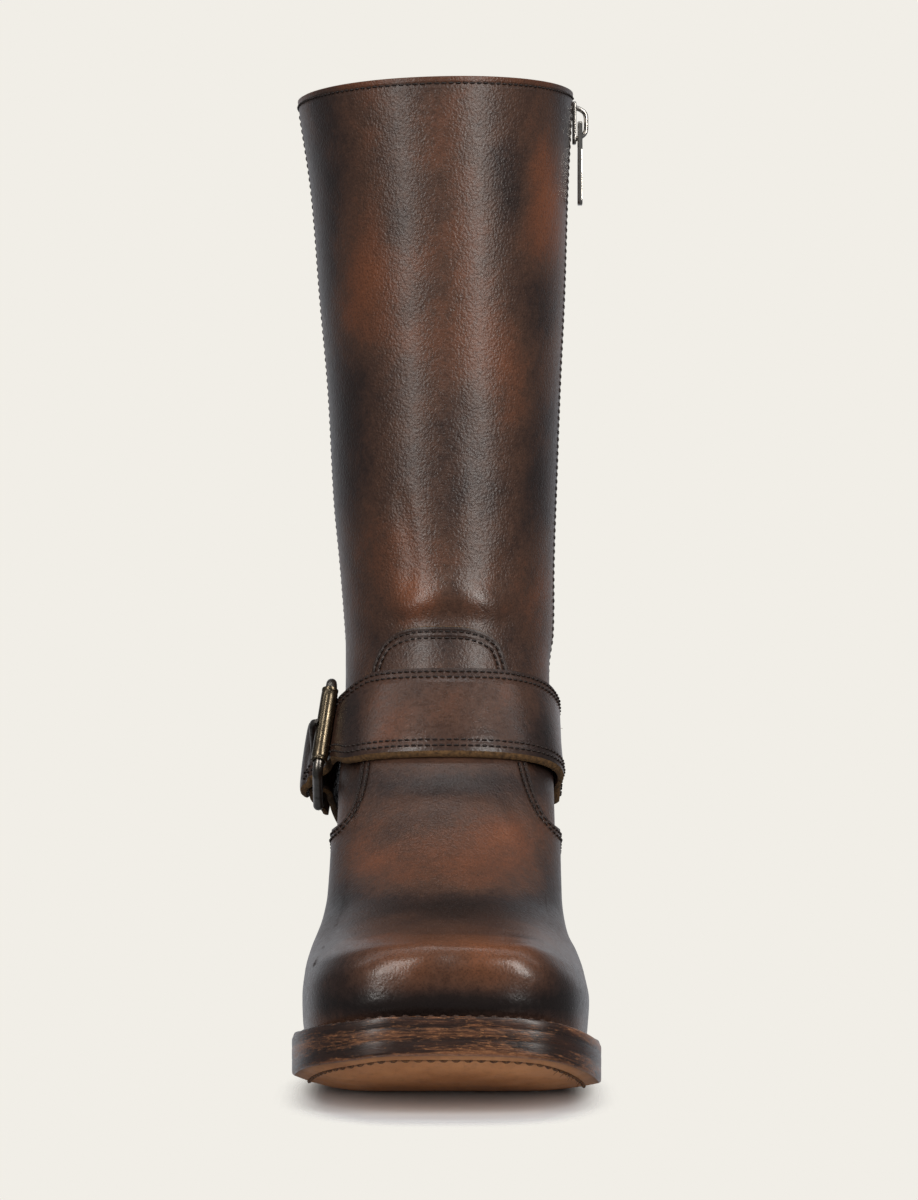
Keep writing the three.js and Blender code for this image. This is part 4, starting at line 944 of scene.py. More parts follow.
VAMP_BORDER = make_overlay(
    "vamp_with_tongue", VAMP_EDGE, 0.5, SIDE_SEAM - 0.0012, 470, 132, VAMP_LEATHER, ["vamp"],
    steep=0.186, drift=0.012)
COUNTER_BORDER = make_overlay(
    "heel_counter", COUNTER_EDGE, 0.0, 1 - SIDE_SEAM - 0.0012, 150, 60, LEATHER, ["counter"])


# Instep strap, chape and buckle, where the solids have them

STRAP_HEIGHT = 122.5
STRAP_FALL = (0.11, 0.005)
CHAPE_FALL = 0.35
STRAP_WIDTH = 37.0
BILLET_WIDTH = 27.0
STRAP_THICK = 2.6
ROLLER_Y = -60.0
BAR_Y = -34.0
STRAP_START_Y = -42.0
BILLET_END_Y = -16.0
CHAPE_END_Y = 10.0
CHAPE_WIDTH = 25.0
CHAPE_THICK = 2.4
CHAPE_RETURN = 17.0
WIRE = 1.9
ROLLER_RADIUS = 3.0
ROLLER_LENGTH = 29.5
WIRE_CORNER = 3.4
STRAP_CROWN = 0.35
STRAP_FRONT = float(surface(0.5, level_for(0.5, STRAP_HEIGHT))[1])


def strap_line(u, tail_fall=0.0):
    level = level_for(u, STRAP_HEIGHT)
    for _ in range(3):
        y = float(surface(u, level)[1])
        run = min(y, BAR_Y) - STRAP_FRONT
        fall = run * (STRAP_FALL[0] + STRAP_FALL[1] * run)
        level = level_for(u, STRAP_HEIGHT - fall - tail_fall * max(0.0, y - BAR_Y))
    return surface(u, level), level


def strap_turn(y, inner, tail_fall=0.0):
    u = 0.25 if inner else 0.75
    for _ in range(5):
        u = float(turn_at(strap_line(u, tail_fall)[1], y, inner))
    return u


def band_at(u, tail_fall=0.0):
    """The band's middle on its inner face, and its long, cross and outward ways."""
    p, level = strap_line(u, tail_fall)
    long = unit(strap_line(u + 0.004, tail_fall)[0] - strap_line(u - 0.004, tail_fall)[0])
    around = unit(surface(u + 0.004, level) - surface(u - 0.004, level))
    cross = unit(np.cross(normal(u, level), long))
    cross = -cross if cross[2] < 0 else cross
    side = ease((p[1] - STRAP_FRONT) / (-50 - STRAP_FRONT))
    seated = ease((p[1] - BAR_Y) / (4 - BAR_Y))
    low, high = (1.0, 0.4) if p[0] > 0 else (mix(3.8, 2.6, seated), mix(1.2, 2.6, seated))
    clear = (mix(2.7, low, side), mix(2.7, high, side))
    edges = []
    for share, stand in zip((-0.5, 0.5), clear):
        reach = share * STRAP_WIDTH
        turn = u + cross @ around * reach / turn_length(level)
        edges.append(surface(turn, level_for(turn, p[2] + cross[2] * reach), stand))
    middle = (edges[0] + edges[1]) / 2
    up = edges[1] - edges[0]
    up = unit(up - long * (up @ long))
    out = unit(np.cross(up, long))
    out = -out if out @ normal(u, level) < 0 else out
    middle = middle + out * max(0.0, sum(clear) / 2 - (middle - p) @ out)
    return middle, long, up, out


def squared_to(place, up, amount):
    middle, long, own, out = place
    turned = own * (1 - amount) + up * amount
    turned = unit(turned - long * (turned @ long))
    face = unit(np.cross(turned, long))
    return middle, long, turned, -face if face @ out < 0 else face


ROLLER_PLACE = band_at(strap_turn(ROLLER_Y, False))
BAR_PLACE = band_at(strap_turn(BAR_Y, False))
ROLLER_CENTRE = ROLLER_PLACE[0] + ROLLER_PLACE[3] * (STRAP_THICK + GAP + ROLLER_RADIUS)
BAR_CENTRE = BAR_PLACE[0] + BAR_PLACE[3] * (CHAPE_THICK + GAP + WIRE)
BUCKLE_LENGTH = float(np.linalg.norm(ROLLER_CENTRE - BAR_CENTRE))
BUCKLE_BACK = unit(BAR_CENTRE - ROLLER_CENTRE)
BUCKLE_DOWN = -(ROLLER_PLACE[2] + BAR_PLACE[2])
BUCKLE_DOWN = unit(BUCKLE_DOWN - BUCKLE_BACK * (BUCKLE_DOWN @ BUCKLE_BACK))
BUCKLE_OUT = np.cross(BUCKLE_BACK, BUCKLE_DOWN)
FOLD_INSIDE = WIRE + GAP
BILLET_RISE = (CHAPE_THICK + GAP + WIRE) + (FOLD_INSIDE + CHAPE_THICK) + 2 * GAP


def in_buckle(points):
    points = np.asarray(points, float)
    axes = np.stack([BUCKLE_BACK, BUCKLE_DOWN, BUCKLE_OUT])
    return BAR_CENTRE + points @ axes


def leather_band(name, middles, ups, outs, halves, thick, crown, bevel, ends, replaced, rows=STITCH_ROWS):
    """A band of leather with raw edges: its stations' middles lie on its inner face."""
    v = np.linspace(-1, 1, 15)
    v = np.sign(v) * (1 - (1 - np.abs(v)) ** 1.25)
    half = halves[:, None]
    low, high = bevel
    reach = v[None] * np.maximum(half - np.where(v < 0, low, high)[None], 0)
    stand = thick + crown * (1 - v[None] ** 2) - 0.25 * np.abs(v[None]) ** 14
    outer = middles[:, None] + ups[:, None] * reach[..., None] + outs[:, None] * stand[..., None]
    inner = middles[:, None] + ups[:, None] * (v[None] * half)[..., None]
    run = run_along(middles)
    edge = half - np.abs(reach)
    for at in ends:
        edge = np.minimum(edge, np.abs(run - run[at])[:, None])
    values = leather_values(outer, unit(outs[:, None] + 0 * outer), edge, rows, 2.6)
    values["gloss"] = 0.9
    build = Build().grid(outer, 0, **values).grid(inner, 2, flip=True)
    build.grid(rim(outer[:, 0], inner[:, 0], -ups, 0.3), 1, dark=0.2)
    build.grid(rim(outer[:, -1], inner[:, -1], ups, 0.3), 1, flip=True, dark=0.2)
    for at, near in ((0, 1), (-1, -2)):
        sideways = unit(middles[at] - middles[near]) + 0 * outer[0]
        build.grid(rim(outer[at], inner[at], sideways, 0.3), 1, flip=at == 0)
    build.make(name, [STRAP_LEATHER, RAW_EDGE, FLESH], replaced=replaced, sharp=50)


def make_strap():
    start, end = strap_turn(STRAP_START_Y, True), strap_turn(BILLET_END_Y, False)
    places, halves, rises = [], [], []
    for u in np.linspace(start, end, 150):
        place = band_at(u)
        x, y = place[0][:2]
        squared = float(ease((y - STRAP_FRONT - 6) / (ROLLER_Y - 5 - STRAP_FRONT - 6))) if x < 0 else 0.0
        rising = float(ease((y - ROLLER_Y - 1) / (BAR_Y - 7 - ROLLER_Y - 1))) if x < 0 else 0.0
        places.append(squared_to(place, -BUCKLE_DOWN, squared))
        halves.append(mix(STRAP_WIDTH, BILLET_WIDTH, squared) / 2)
        rises.append(rising * BILLET_RISE)
    middles = np.array([p[0] + p[3] * rise for p, rise in zip(places, rises)])
    ups, outs = (np.array([p[k] for p in places]) for k in (2, 3))
    run = run_along(middles)
    tip = np.clip((run - run[-1] + 12) / 12, 0, 1)
    halves = np.array(halves) * np.maximum((1 - tip ** 2.6) ** (1 / 2.2), 0.04)
    leather_band("instep_strap", middles, ups, outs, halves, STRAP_THICK, STRAP_CROWN, (1.15, 0.5), (0,), ["strap"])
    return middles, ups, outs, halves, run


def make_chape():
    """The chape: its return under the fold, the fold round the buckle's bar, and its leaf on the boot."""
    fold = FOLD_INSIDE + CHAPE_THICK / 2
    out = unit(BAR_PLACE[3] - BUCKLE_DOWN * (BAR_PLACE[3] @ BUCKLE_DOWN))
    back = np.cross(BUCKLE_DOWN, out)
    seat = GAP - FOLD_INSIDE + CHAPE_THICK / 2
    steps = [(CHAPE_RETURN * (1 - t), mix(seat, fold, float(ease(t * 1.4))))
             for t in np.linspace(0, 1, 14, endpoint=False)]
    steps += [(fold * np.cos(angle), fold * np.sin(angle)) for angle in np.pi * np.linspace(0.5, 1.5, 15)]
    middles = [BAR_CENTRE + back * x + out * z for x, z in steps]
    ups = [-BUCKLE_DOWN] * len(middles)
    start, end = strap_turn(BAR_Y, False), strap_turn(CHAPE_END_Y, False, CHAPE_FALL)
    for t in np.linspace(0, 1, 15)[1:]:
        place = squared_to(band_at(mix(start, end, t), CHAPE_FALL), -BUCKLE_DOWN, 1 - float(ease(t)))
        middles.append(place[0] + place[3] * CHAPE_THICK / 2)
        ups.append(place[2])
    middles, ups = np.array(middles), unit(np.array(ups))
    faces = unit(np.cross(np.gradient(middles, axis=0), ups))
    halves = np.full(len(middles), CHAPE_WIDTH / 2)
    leather_band("buckle_chape", middles - faces * CHAPE_THICK / 2, ups, faces, halves, CHAPE_THICK, 0.0,
                 (0.4, 0.4), (0, -1), ["chape"], rows=(1.8,))
    return middles, ups, faces


STRAP = make_strap()
CHAPE = make_chape()


def make_buckle():
    reach = ROLLER_LENGTH / 2 + GAP
    ring = []
    for i, (x, side) in enumerate([(-BUCKLE_LENGTH, -1), (0, -1), (0, 1), (-BUCKLE_LENGTH, 1)]):
        inwards = -WIRE_CORNER if x == 0 else WIRE_CORNER
        for angle in np.pi / 2 * (i + 2 + np.arange(9) / 8):
            ring.append((x + inwards + WIRE_CORNER * np.cos(angle), side * reach + WIRE_CORNER * np.sin(angle), 0.0))
    ring = np.array(ring)
    dense = []
    for a, b in zip(ring, np.roll(ring, -1, axis=0)):
        steps = max(1, int(np.linalg.norm(b - a) / 1.5))
        dense += [a + (b - a) * k / steps for k in range(steps)]
    wire = tube(in_buckle(dense), WIRE, 14, closed=True)
    Build().grid(wire, 0, closed=True, flip=True).make(
        "buckle_wire_frame", [PEWTER], replaced=["buckle_frame"], slot="buckle_metal")

    # The roller's sleeve, with its rolled ends and its seam: how far from an end, and its radius there
    ends = [(0.0, WIRE + 0.3), (0.0, ROLLER_RADIUS - 0.3), (0.25, ROLLER_RADIUS), (1.1, ROLLER_RADIUS),
            (1.4, ROLLER_RADIUS - 0.22)]
    y = np.linspace(-ROLLER_LENGTH / 2 + 2, ROLLER_LENGTH / 2 - 2, 13)
    r = np.full(len(y), ROLLER_RADIUS)
    for inset, radius in reversed(ends):
        y = np.concatenate([[inset - ROLLER_LENGTH / 2], y, [ROLLER_LENGTH / 2 - inset]])
        r = np.concatenate([[radius], r, [radius]])
    angle = circle(36)
    r = r[:, None] * (1 - 0.1 * np.exp(-((angle - 4.1) / 0.09) ** 2))
    lathe = np.stack([-BUCKLE_LENGTH + r * np.cos(angle), y[:, None] + 0 * angle, r * np.sin(angle)], axis=-1)
    Build().grid(in_buckle(lathe), 0, closed=True).make(
        "roller_sleeve", [BRASS], replaced=["buckle_roller"], slot="roller_metal", sharp=50)
    # The prong: an eye round the bar, and an arm that lies on the roller and tapers past it
    eye = FOLD_INSIDE + 0.9
    rest = ROLLER_RADIUS + GAP
    arm_x = np.array([2.0, 0.5, -1.5, -6, -12, -BUCKLE_LENGTH + 5, -BUCKLE_LENGTH + 2, -BUCKLE_LENGTH,
                      -BUCKLE_LENGTH - 1.6, -BUCKLE_LENGTH - 2.6])
    arm_z = np.array([2.6, 3.3, 3.6, 3.9, 4.2, 4.5, 4.6, rest + 1.1, rest + 0.5, rest - 0.1])
    arm_w = np.array([1.7, 1.7, 1.7, 1.65, 1.55, 1.5, 1.45, 1.3, 1.05, 0.7])
    arm_t = np.array([0.9, 1.0, 1.1, 1.1, 1.1, 1.1, 1.05, 1.0, 0.8, 0.5])
    t = np.linspace(0, 1, len(arm_x))
    fine = np.linspace(0, 1, 40)
    x, z, w, h = (curve(t, k)(fine) for k in (arm_x, arm_z, arm_w, arm_t))
    angle = circle(16)
    power = lambda v: np.sign(v) * np.abs(v) ** 0.6
    ring = np.stack([x[:, None] + 0 * angle, w[:, None] * power(np.cos(angle)),
                     z[:, None] + h[:, None] * power(np.sin(angle))], axis=-1)
    build = Build()
    build.grid(in_buckle(ring), 0, closed=True)
    for end, flip in ((ring[:1], False), (ring[-1:], True)):
        middle = end.mean(axis=1, keepdims=True) + 0 * end
        build.grid(in_buckle(np.concatenate([middle, end])), 0, closed=True, flip=flip)
    around = np.pi * (1 + 2 * np.arange(28) / 28)
    band_y = np.array([-1.7, -1.7, -1.3, 1.3, 1.7, 1.7, 1.3, -1.3])
    band_r = np.array([-0.4, 0.5, 0.9, 0.9, 0.5, -0.4, -0.85, -0.85])
    hoop = np.stack([(eye + band_r[None]) * np.cos(around)[:, None], band_y[None] + 0 * around[:, None],
                     (eye + band_r[None]) * np.sin(around)[:, None]], axis=-1)
    hoop = np.concatenate([hoop, hoop[:1]])
    build.grid(in_buckle(hoop), 0, closed=True, flip=True)
    build.make("buckle_prong_arm", [PEWTER], replaced=["buckle_prong"], slot="buckle_metal", sharp=40)


make_buckle()


# Sole and heel

def extension_at(y):
    y = np.asarray(y, float)
    ball, waist = along(BALL), along(WAIST)
    toe, wide, narrow, heel = (EXTENSIONS[k] for k in ("toe", "ball", "waist", "heel"))
    front = mix(wide, toe, ease((ball - y) / (ball - along(1))))
    middle = mix(wide, narrow, ease((y - ball) / (waist - ball)))
    rear = mix(narrow, heel, ease((y - waist) / (along(SEAT) - waist)))
    return np.where(y < ball, front, np.where(y < waist, middle, rear))


AROUND = np.linspace(0, 1, 561)[:-1]
LAST_FLAT = outline_row(0, AROUND)[0]
LAST_AHEAD = unit(outline_row(0, np.mod(AROUND + 0.004, 1))[0] - outline_row(0, np.mod(AROUND - 0.004, 1))[0])
LAST_OUT = np.stack([-LAST_AHEAD[:, 1], LAST_AHEAD[:, 0]], axis=1)


def sole_line(distance):
    """The last's outline moved outwards by a distance that may change along it."""
    return LAST_FLAT + LAST_OUT * np.broadcast_to(distance, (len(AROUND),))[:, None]


CORNER = ease((-195 - LAST_FLAT[:, 1]) / 25)
EXTENSION = extension_at(LAST_FLAT[:, 1]) + CORNER * (
    1.2 * np.exp(-((LAST_FLAT[:, 0] - 28) / 7) ** 2) + 0.7 * np.exp(-((LAST_FLAT[:, 0] + 20) / 7) ** 2))
SOLE_FLAT = sole_line(EXTENSION)
SOLE_RUN = run_along(SOLE_FLAT)
WELT_TOP = 12.62


def closed_ring(rows):
    """Rows round the sole, each joined to its start."""
    rows = np.array(rows)
    return np.concatenate([rows, rows[:, :1]], axis=1)


def sole_map(heights):
    """Places on the flat map for rows round the sole: the way gone round, and a height."""
    return closed_ring([np.stack([SOLE_RUN / 100, np.full(len(SOLE_RUN), height)], axis=1) for height in heights])


def at_height(flat, height):
    """Points over the sole's underside, each a height above it."""
    z = underside_at(flat[..., 0], flat[..., 1]) + height
    return np.concatenate([flat, z[..., None]], axis=-1)


def across_ring(flat, height, columns=15):
    """A grid that fills a ring over the sole's underside, from side to side."""
    half = len(flat) // 2
    one, other = flat[1:half], flat[::-1][:half - 1]
    share = np.linspace(0, 1, columns)[None, :, None]
    return at_height(one[:, None] * (1 - share) + other[:, None] * share, height)


# height above the underside, inset, how dark, how rubbed
SOLE_PROFILE = [
    (0.0, 0.75, 0.0, 1.0), (0.18, 0.3, 0.0, 0.95), (0.5, 0.05, 0.0, 0.7), (1.2, 0.0, 0.0, 0.1),
    (3.0, 0.0, 0.0, 0.0), (4.5, 0.0, 0.1, 0.0), (4.85, 0.06, 0.45, 0.0), (5.2, 0.0, 0.1, 0.0),
    (7.0, -0.03, 0.0, 0.0), (8.5, 0.0, 0.1, 0.0), (8.8, 0.07, 0.5, 0.0), (9.1, 0.0, 0.1, 0.0),
    (10.5, -0.02, 0.0, 0.0), (11.7, 0.0, 0.0, 0.2), (12.2, 0.2, 0.0, 0.35), (12.5, 0.6, 0.2, 0.1),
    (WELT_TOP, 1.3, 0.5, 0.0),
]
# inset, rise and how dark, for the outsole's rim and the channel that hides its seam
CHANNEL_PROFILE = [
    (0.75, 0.0, 0.55), (1.5, 0.0, 0.25), (3.0, 0.0, 0.05), (5.0, 0.0, 0.0), (5.35, 0.05, 0.5),
    (5.6, 0.55, 1.0), (5.9, 0.5, 0.9), (6.2, -0.12, 0.3), (6.8, -0.05, 0.0),
]


def make_sole():
    heights, insets, shades, wears = np.array(SOLE_PROFILE).T
    flats = [sole_line(EXTENSION - inset) for inset in insets]
    rows = closed_ring([at_height(flat, height) for flat, height in zip(flats, heights)])
    flat = sole_map(heights / 12)
    flat[:, -1, 0] = (SOLE_RUN[-1] + 0.5) / 100
    rubbed = wears[:, None] + 0.22 * ease((rows[..., 1] + 232) / 16)
    build = Build().grid(rows, 0, flat=flat, dark=shades[:, None] + 0 * rubbed, rubbed=rubbed)

    # The welt's top runs in under the upper and darkens inwards: painted shade in the crevice under the upper's edge
    top = [at_height(sole_line(EXTENSION - inset), WELT_TOP + rise) for inset, rise in
           ((1.3, 0.0), (2.2, -0.25), (2.9, -0.3), (3.6, -0.1))]
    top = closed_ring(top + [at_height(sole_line(distance), 12.5) for distance in (1.6, 0.0, -4.0, -8.0)])
    shade = np.array([0.4, 0.5, 0.8, 0.7, 0.9, 1.0, 1.0, 1.0])[:, None] + 0 * top[..., 0]
    build.grid(top, 0, flat=sole_map(1.05 + 0.05 * np.arange(len(top))), dark=shade)
    build.make("sole_edges", [SOLE_EDGE], replaced=["welt", "midsole"], slot="edge_leather", sharp=45)

    insets, rises, shades = np.array(CHANNEL_PROFILE).T
    rows = closed_ring([at_height(sole_line(EXTENSION - inset), rise) for inset, rise in zip(insets, rises)])
    build = Build().grid(rows, 0, flip=True, dark=shades[:, None] + 0 * rows[..., 0])
    inside = across_ring(sole_line(EXTENSION - insets[-1]), 0.0)
    build.grid(inside, 0, flip=True, dark=0.3 * np.exp(-((inside[..., 1] + 150) / 45) ** 2))
    build.make("outsole_underside", [NATURAL], replaced=["outsole"], slot="sole_leather", sharp=60)


make_sole()


def heel_outline(z, drawn=0.0, count=260):
    """The heel's outline at a height, flat across its front."""
    inset = HEEL_TAPER * (HEEL_HEIGHT - z) + drawn
    face = BREAST_Y + BREAST_LEAN * (HEEL_HEIGHT - z) + drawn
    flat = sole_line(EXTENSION - inset)
    kept = flat[:, 1] > face
    back = np.roll(flat, len(flat) // 2, axis=0)[np.roll(kept, len(flat) // 2)]
    line = np.concatenate([[(back[0, 0], face)], back, [(back[-1, 0], face)]])
    t = np.linspace(0, 1, 25)[1:-1]
    hollow = 2.2 * np.sin(np.pi * t)
    breast = np.stack([mix(back[-1, 0], back[0, 0], t), face + hollow], axis=1)
    line = np.concatenate([line, breast, line[:1]])
    run = run_along(line)
    at = np.linspace(0, run[-1], count)
    return read_line(line, run, at), at


def make_heel():
    seams = [TOP_PIECE + LIFT * i for i in range(1, LIFTS + 1)]
    rows, uv, dark = [], [], []
    heights = [(TOP_PIECE + 0.05, 0.25, 0.8)]
    for low in [TOP_PIECE] + seams:
        high = low + LIFT if low < seams[-1] else HEEL_HEIGHT - 0.5
        heights += [(low + 0.35, 0.0, 0.1), ((low + high) / 2, -0.03, 0.0), (high - 0.35, 0.0, 0.1), (high, 0.16, 0.8)]
    for z, drawn, shade in heights:
        flat, run = heel_outline(z, drawn)
        level = np.full(len(flat), z)
        if z > HEEL_HEIGHT - 1.2:
            level = bottom_at(flat[:, 1]) + (z - HEEL_HEIGHT + 0.3)
        rows.append(np.concatenate([flat, level[:, None]], axis=1))
        uv.append(np.stack([run / 100, np.full(len(flat), z / 12)], axis=1))
        dark.append(np.full(len(flat), shade))
    Build().grid(np.array(rows), 0, flat=np.array(uv), dark=np.array(dark)).make(
        "stacked_heel", [SOLE_EDGE], slot="edge_leather",
        replaced=[f"heel_lift_{i + 1}" for i in range(LIFTS)] + ["heel_seat_lift"], sharp=60)

    rows = []
    for z, drawn in ((0.0, 1.2), (0.0, 0.7), (0.25, 0.2), (0.7, 0.0), (TOP_PIECE - 0.8, 0.0),
                     (TOP_PIECE - 0.3, 0.1), (TOP_PIECE, 0.5)):
        rows.append(np.insert(heel_outline(z, drawn)[0], 2, z, axis=1))
    build = Build().grid(np.array(rows), 0)
    ring = rows[0]
    keel = np.stack([0.02 * ring[:, 0], np.clip(ring[:, 1], -14, 8), 0 * ring[:, 0]], axis=1)
    grooves = []
    for share in np.linspace(0, 1, 22):
        grooves.append(ring * (1 - share) + keel * share)
        grooves[-1][:, 2] = 0.6 if 0.12 < share < 0.9 and int(share * 22) % 3 == 1 else 0.0
    build.grid(np.array(grooves), 0, flip=True)
    build.make("heel_rubber_piece", [RUBBER], replaced=["heel_top_piece"], slot="heel_rubber", sharp=40)


def make_insole():
    profile = ((-3.4, 0.6), (-3.4, 2.4), (-3.8, 3.0), (-4.6, 3.2))
    build = Build().grid(closed_ring([at_height(sole_line(distance), 12.6 + rise) for distance, rise in profile]), 0)
    build.grid(across_ring(sole_line(-4.6), 15.8), 0)
    build.make("insole_leather", [INSOLE], replaced=["insole"], slot="insole_leather", sharp=50)


make_heel()
make_insole()


# Zip: tape, teeth, slider with its bridge, and the pull tab

def tape_grid(depth):
    """The zip tape's face at a depth in the upper's wall."""
    levels = np.linspace(ZIP_BOTTOM - 4.0, TOP - 4.0, 120)
    u = zip_turn(levels)[:, None] + np.linspace(-0.5, 0.5, 7)[None] * 22 / turn_length(levels)[:, None]
    return surface(u, levels[:, None], depth)


def make_zip():
    outer, inner = tape_grid(-WALL - 0.35), tape_grid(-WALL - 1.05)
    build = Build().grid(outer, 0, flip=True).grid(inner, 0)
    for at, flip in ((0, True), (-1, False)):
        build.grid(np.stack([outer[:, at], inner[:, at]]), 0, flip=flip)
        build.grid(np.stack([outer[at], inner[at]]), 0, flip=not flip)
    build.make("zip_fabric_tape", [TAPE], replaced=["zip_tape"], slot="zip_fabric")

    # Teeth: rows of small blocks that meet in the middle, each with a rounded head
    levels = np.arange(ZIP_BOTTOM + 1, TOP - 5.0, TOOTH_PITCH)
    turn, length = zip_turn(levels), turn_length(levels)
    build = Build()
    for side in (-1, 1):
        at = levels + (0.0 if side < 0 else TOOTH_PITCH / 2)
        rows = []
        for depth, grow in ((-WALL + 0.05, 1.0), (-0.85, 1.0), (-0.6, 0.7)):
            rows.append(np.stack([
                surface(turn + side * (TOOTH_MIDDLE + (across - TOOTH_MIDDLE) * grow) / length, at + up * grow, depth)
                for across, up in ((-0.5, -0.55), (2.4, -0.42), (2.4, 0.42), (-0.5, 0.55))], axis=1))
        rows.append(rows[-1].mean(axis=1, keepdims=True) + 0 * rows[-1])
        add_tubes(build, np.stack(rows, axis=1), flip=side < 0)
    build.make("zip_tooth_rows", [TEETH], replaced=["zip_teeth"], slot="zip_metal", sharp=40)


TOOTH_PITCH = 1.9
TOOTH_MIDDLE = 0.97


make_zip()

SLIDER_LEVEL = TOP - 10.5
SEAT = surface(float(zip_turn(SLIDER_LEVEL)), SLIDER_LEVEL)


def turns_left(loop):
    return np.sum(loop[:, 0] * np.roll(loop[:, 1], -1) - loop[:, 1] * np.roll(loop[:, 0], -1)) > 0


def inset_loop(loop, inset):
    ahead = unit(np.roll(loop, -1, axis=0) - np.roll(loop, 1, axis=0))
    inwards = np.stack([-ahead[:, 1], ahead[:, 0]], axis=1) * (1 if turns_left(loop) else -1)
    return loop + inwards * inset


def add_plate(build, place, outline, low, high, bevel):
    """A flat plate with a rounded rim, from an outline in y and z, between two depths in x."""
    rows = []
    for x, inset in ((low, None), (low, bevel), (low + bevel * 0.3, bevel * 0.3), (low + bevel, 0), (high - bevel, 0),
                     (high - bevel * 0.3, bevel * 0.3), (high, bevel), (high, None)):
        flat = outline * 0 + outline.mean(axis=0) if inset is None else inset_loop(outline, inset)
        rows.append(np.insert(flat, 0, x, axis=1))
    build.grid(place + np.array(rows), 0, closed=True, flip=not turns_left(outline))


def smooth_loop(corners, radius, steps=6):
    """A closed outline with its corners rounded."""
    corners = np.asarray(corners, float)
    radius = np.broadcast_to(radius, (len(corners),))
    loop = []
    for i, corner in enumerate(corners):
        back = unit(corners[i - 1] - corner)
        forth = unit(corners[(i + 1) % len(corners)] - corner)
        a, b = corner + back * radius[i], corner + forth * radius[i]
        for t in np.linspace(0, 1, steps + 1):
            loop.append(a * (1 - t) ** 2 + 2 * corner * t * (1 - t) + b * t * t)
    return np.array(loop)


def make_slider():
    build = Build()
    body = smooth_loop([(-4.2, 8.0), (-3.0, -8.0), (3.0, -8.0), (4.2, 8.0)], 2.0)
    neck = smooth_loop([(-1.0, 7.6), (-1.0, 4.2), (1.0, 4.2), (1.0, 7.6)], 0.4)
    add_plate(build, SEAT, body, 0.35, 1.75, 0.45)
    add_plate(build, SEAT, body * 0.9, -3.3, -2.5, 0.3)
    add_plate(build, SEAT, neck, -2.6, 0.6, 0.1)
    # The bridge is a bowed wire from the body's top to its foot
    t = np.linspace(0, 1, 33)
    bow = np.abs(2 * t - 1)
    path = np.stack([1.2 + 4.3 * (1 - bow ** 4.5), 0 * t, mix(6.0, -6.0, t)], axis=1)
    build.grid(SEAT + tube(path, 0.95 - 0.12 * (1 - bow)), 0, closed=True, flip=True)
    build.make("zip_slider_body", [NICKEL], replaced=["zip_slider"], slot="zip_metal", sharp=50)


def make_pull():
    """A thin tab: a frame round its window above, and a plate that widens to a rounded foot."""
    low, high = np.array(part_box("zip_pull")) * 1000
    centre = (low + high) / 2 * np.array([1, 1, 0])
    top, foot, neck = high[2], low[2], high[2] - 11
    half = 0.9
    outer = smooth_loop([(-1.9, top), (1.9, top), (2.4, neck), (-2.4, neck)], [1.6, 1.6, 0.3, 0.3], 9)
    hole = smooth_loop([(-1.0, top - 1.5), (1.0, top - 1.5), (1.25, top - 9.6), (-1.25, top - 9.6)],
                       [0.9, 0.9, 1.1, 1.1], 9)
    frame = [(-half, hole, -0.3), (-half, outer, 0.35), (-half + 0.35, outer, 0), (half - 0.35, outer, 0),
             (half, outer, 0.35), (half, hole, -0.3), (half - 0.3, hole, 0), (-half + 0.3, hole, 0),
             (-half, hole, -0.3)]
    rows = [np.insert(inset_loop(loop, inset), 0, depth, axis=1) for depth, loop, inset in frame]
    build = Build().grid(centre + np.array(rows), 0, closed=True)
    leaf = smooth_loop([(-2.4, neck + 0.6), (2.4, neck + 0.6), (3.2, foot + 9), (3.2, foot), (-3.2, foot),
                        (-3.2, foot + 9)], [0.3, 0.3, 3, 2.6, 2.6, 3], 9)
    add_plate(build, centre, leaf, -half, half, 0.35)
    build.make("zip_pull_tab", [NICKEL], body="pull", replaced=["zip_pull"], slot="zip_metal", sharp=40)


make_slider()
make_pull()


# Sewing

def sew(name, lines, material=THREAD, slot="upper_leather", **options):
    """Rows of stitches in one piece: each line is a path and its normals, and may say its own thickness."""
    build = Build()
    for line, normals, *thick in lines:
        stitches(build, line, normals, **options, **({"thick": thick[0]} if thick else {}))
    build.make(name, [material], slot=slot)


for name, (line, normals, side) in (("vamp_sewing", VAMP_BORDER), ("counter_sewing", COUNTER_BORDER)):
    path, out = resample(line, normals, 0.8)
    sew(name, [(inset_line(path, out, inset, side), out) for inset in STITCH_ROWS])


def strap_sewing():
    middles, ups, outs, halves, run = STRAP
    lines = []
    for side, trim in ((-1, 1.5), (1, 0.45)):
        for inset in STITCH_ROWS:
            reach = side * (halves - trim - inset)
            share = np.abs(reach) / np.maximum(halves - trim, 1)
            stand = STRAP_THICK + STRAP_CROWN * (1 - share ** 2)
            path = middles + ups * reach[:, None] + outs * stand[:, None]
            inside = (run < run[-1] - 26) & (run > inset)
            lines.append((path[inside], outs[inside]))
    for inset in STITCH_ROWS:
        v = np.linspace(-1, 1, 30)
        i = int(np.searchsorted(run, inset))
        stand = STRAP_THICK + STRAP_CROWN * (1 - v ** 2)
        path = middles[i] + ups[i] * (v * (halves[i] - 1.9))[:, None] + outs[i] * stand[:, None]
        lines.append((path, outs[i] + 0 * path))
    sew("strap_sewing", lines, thick=0.38)


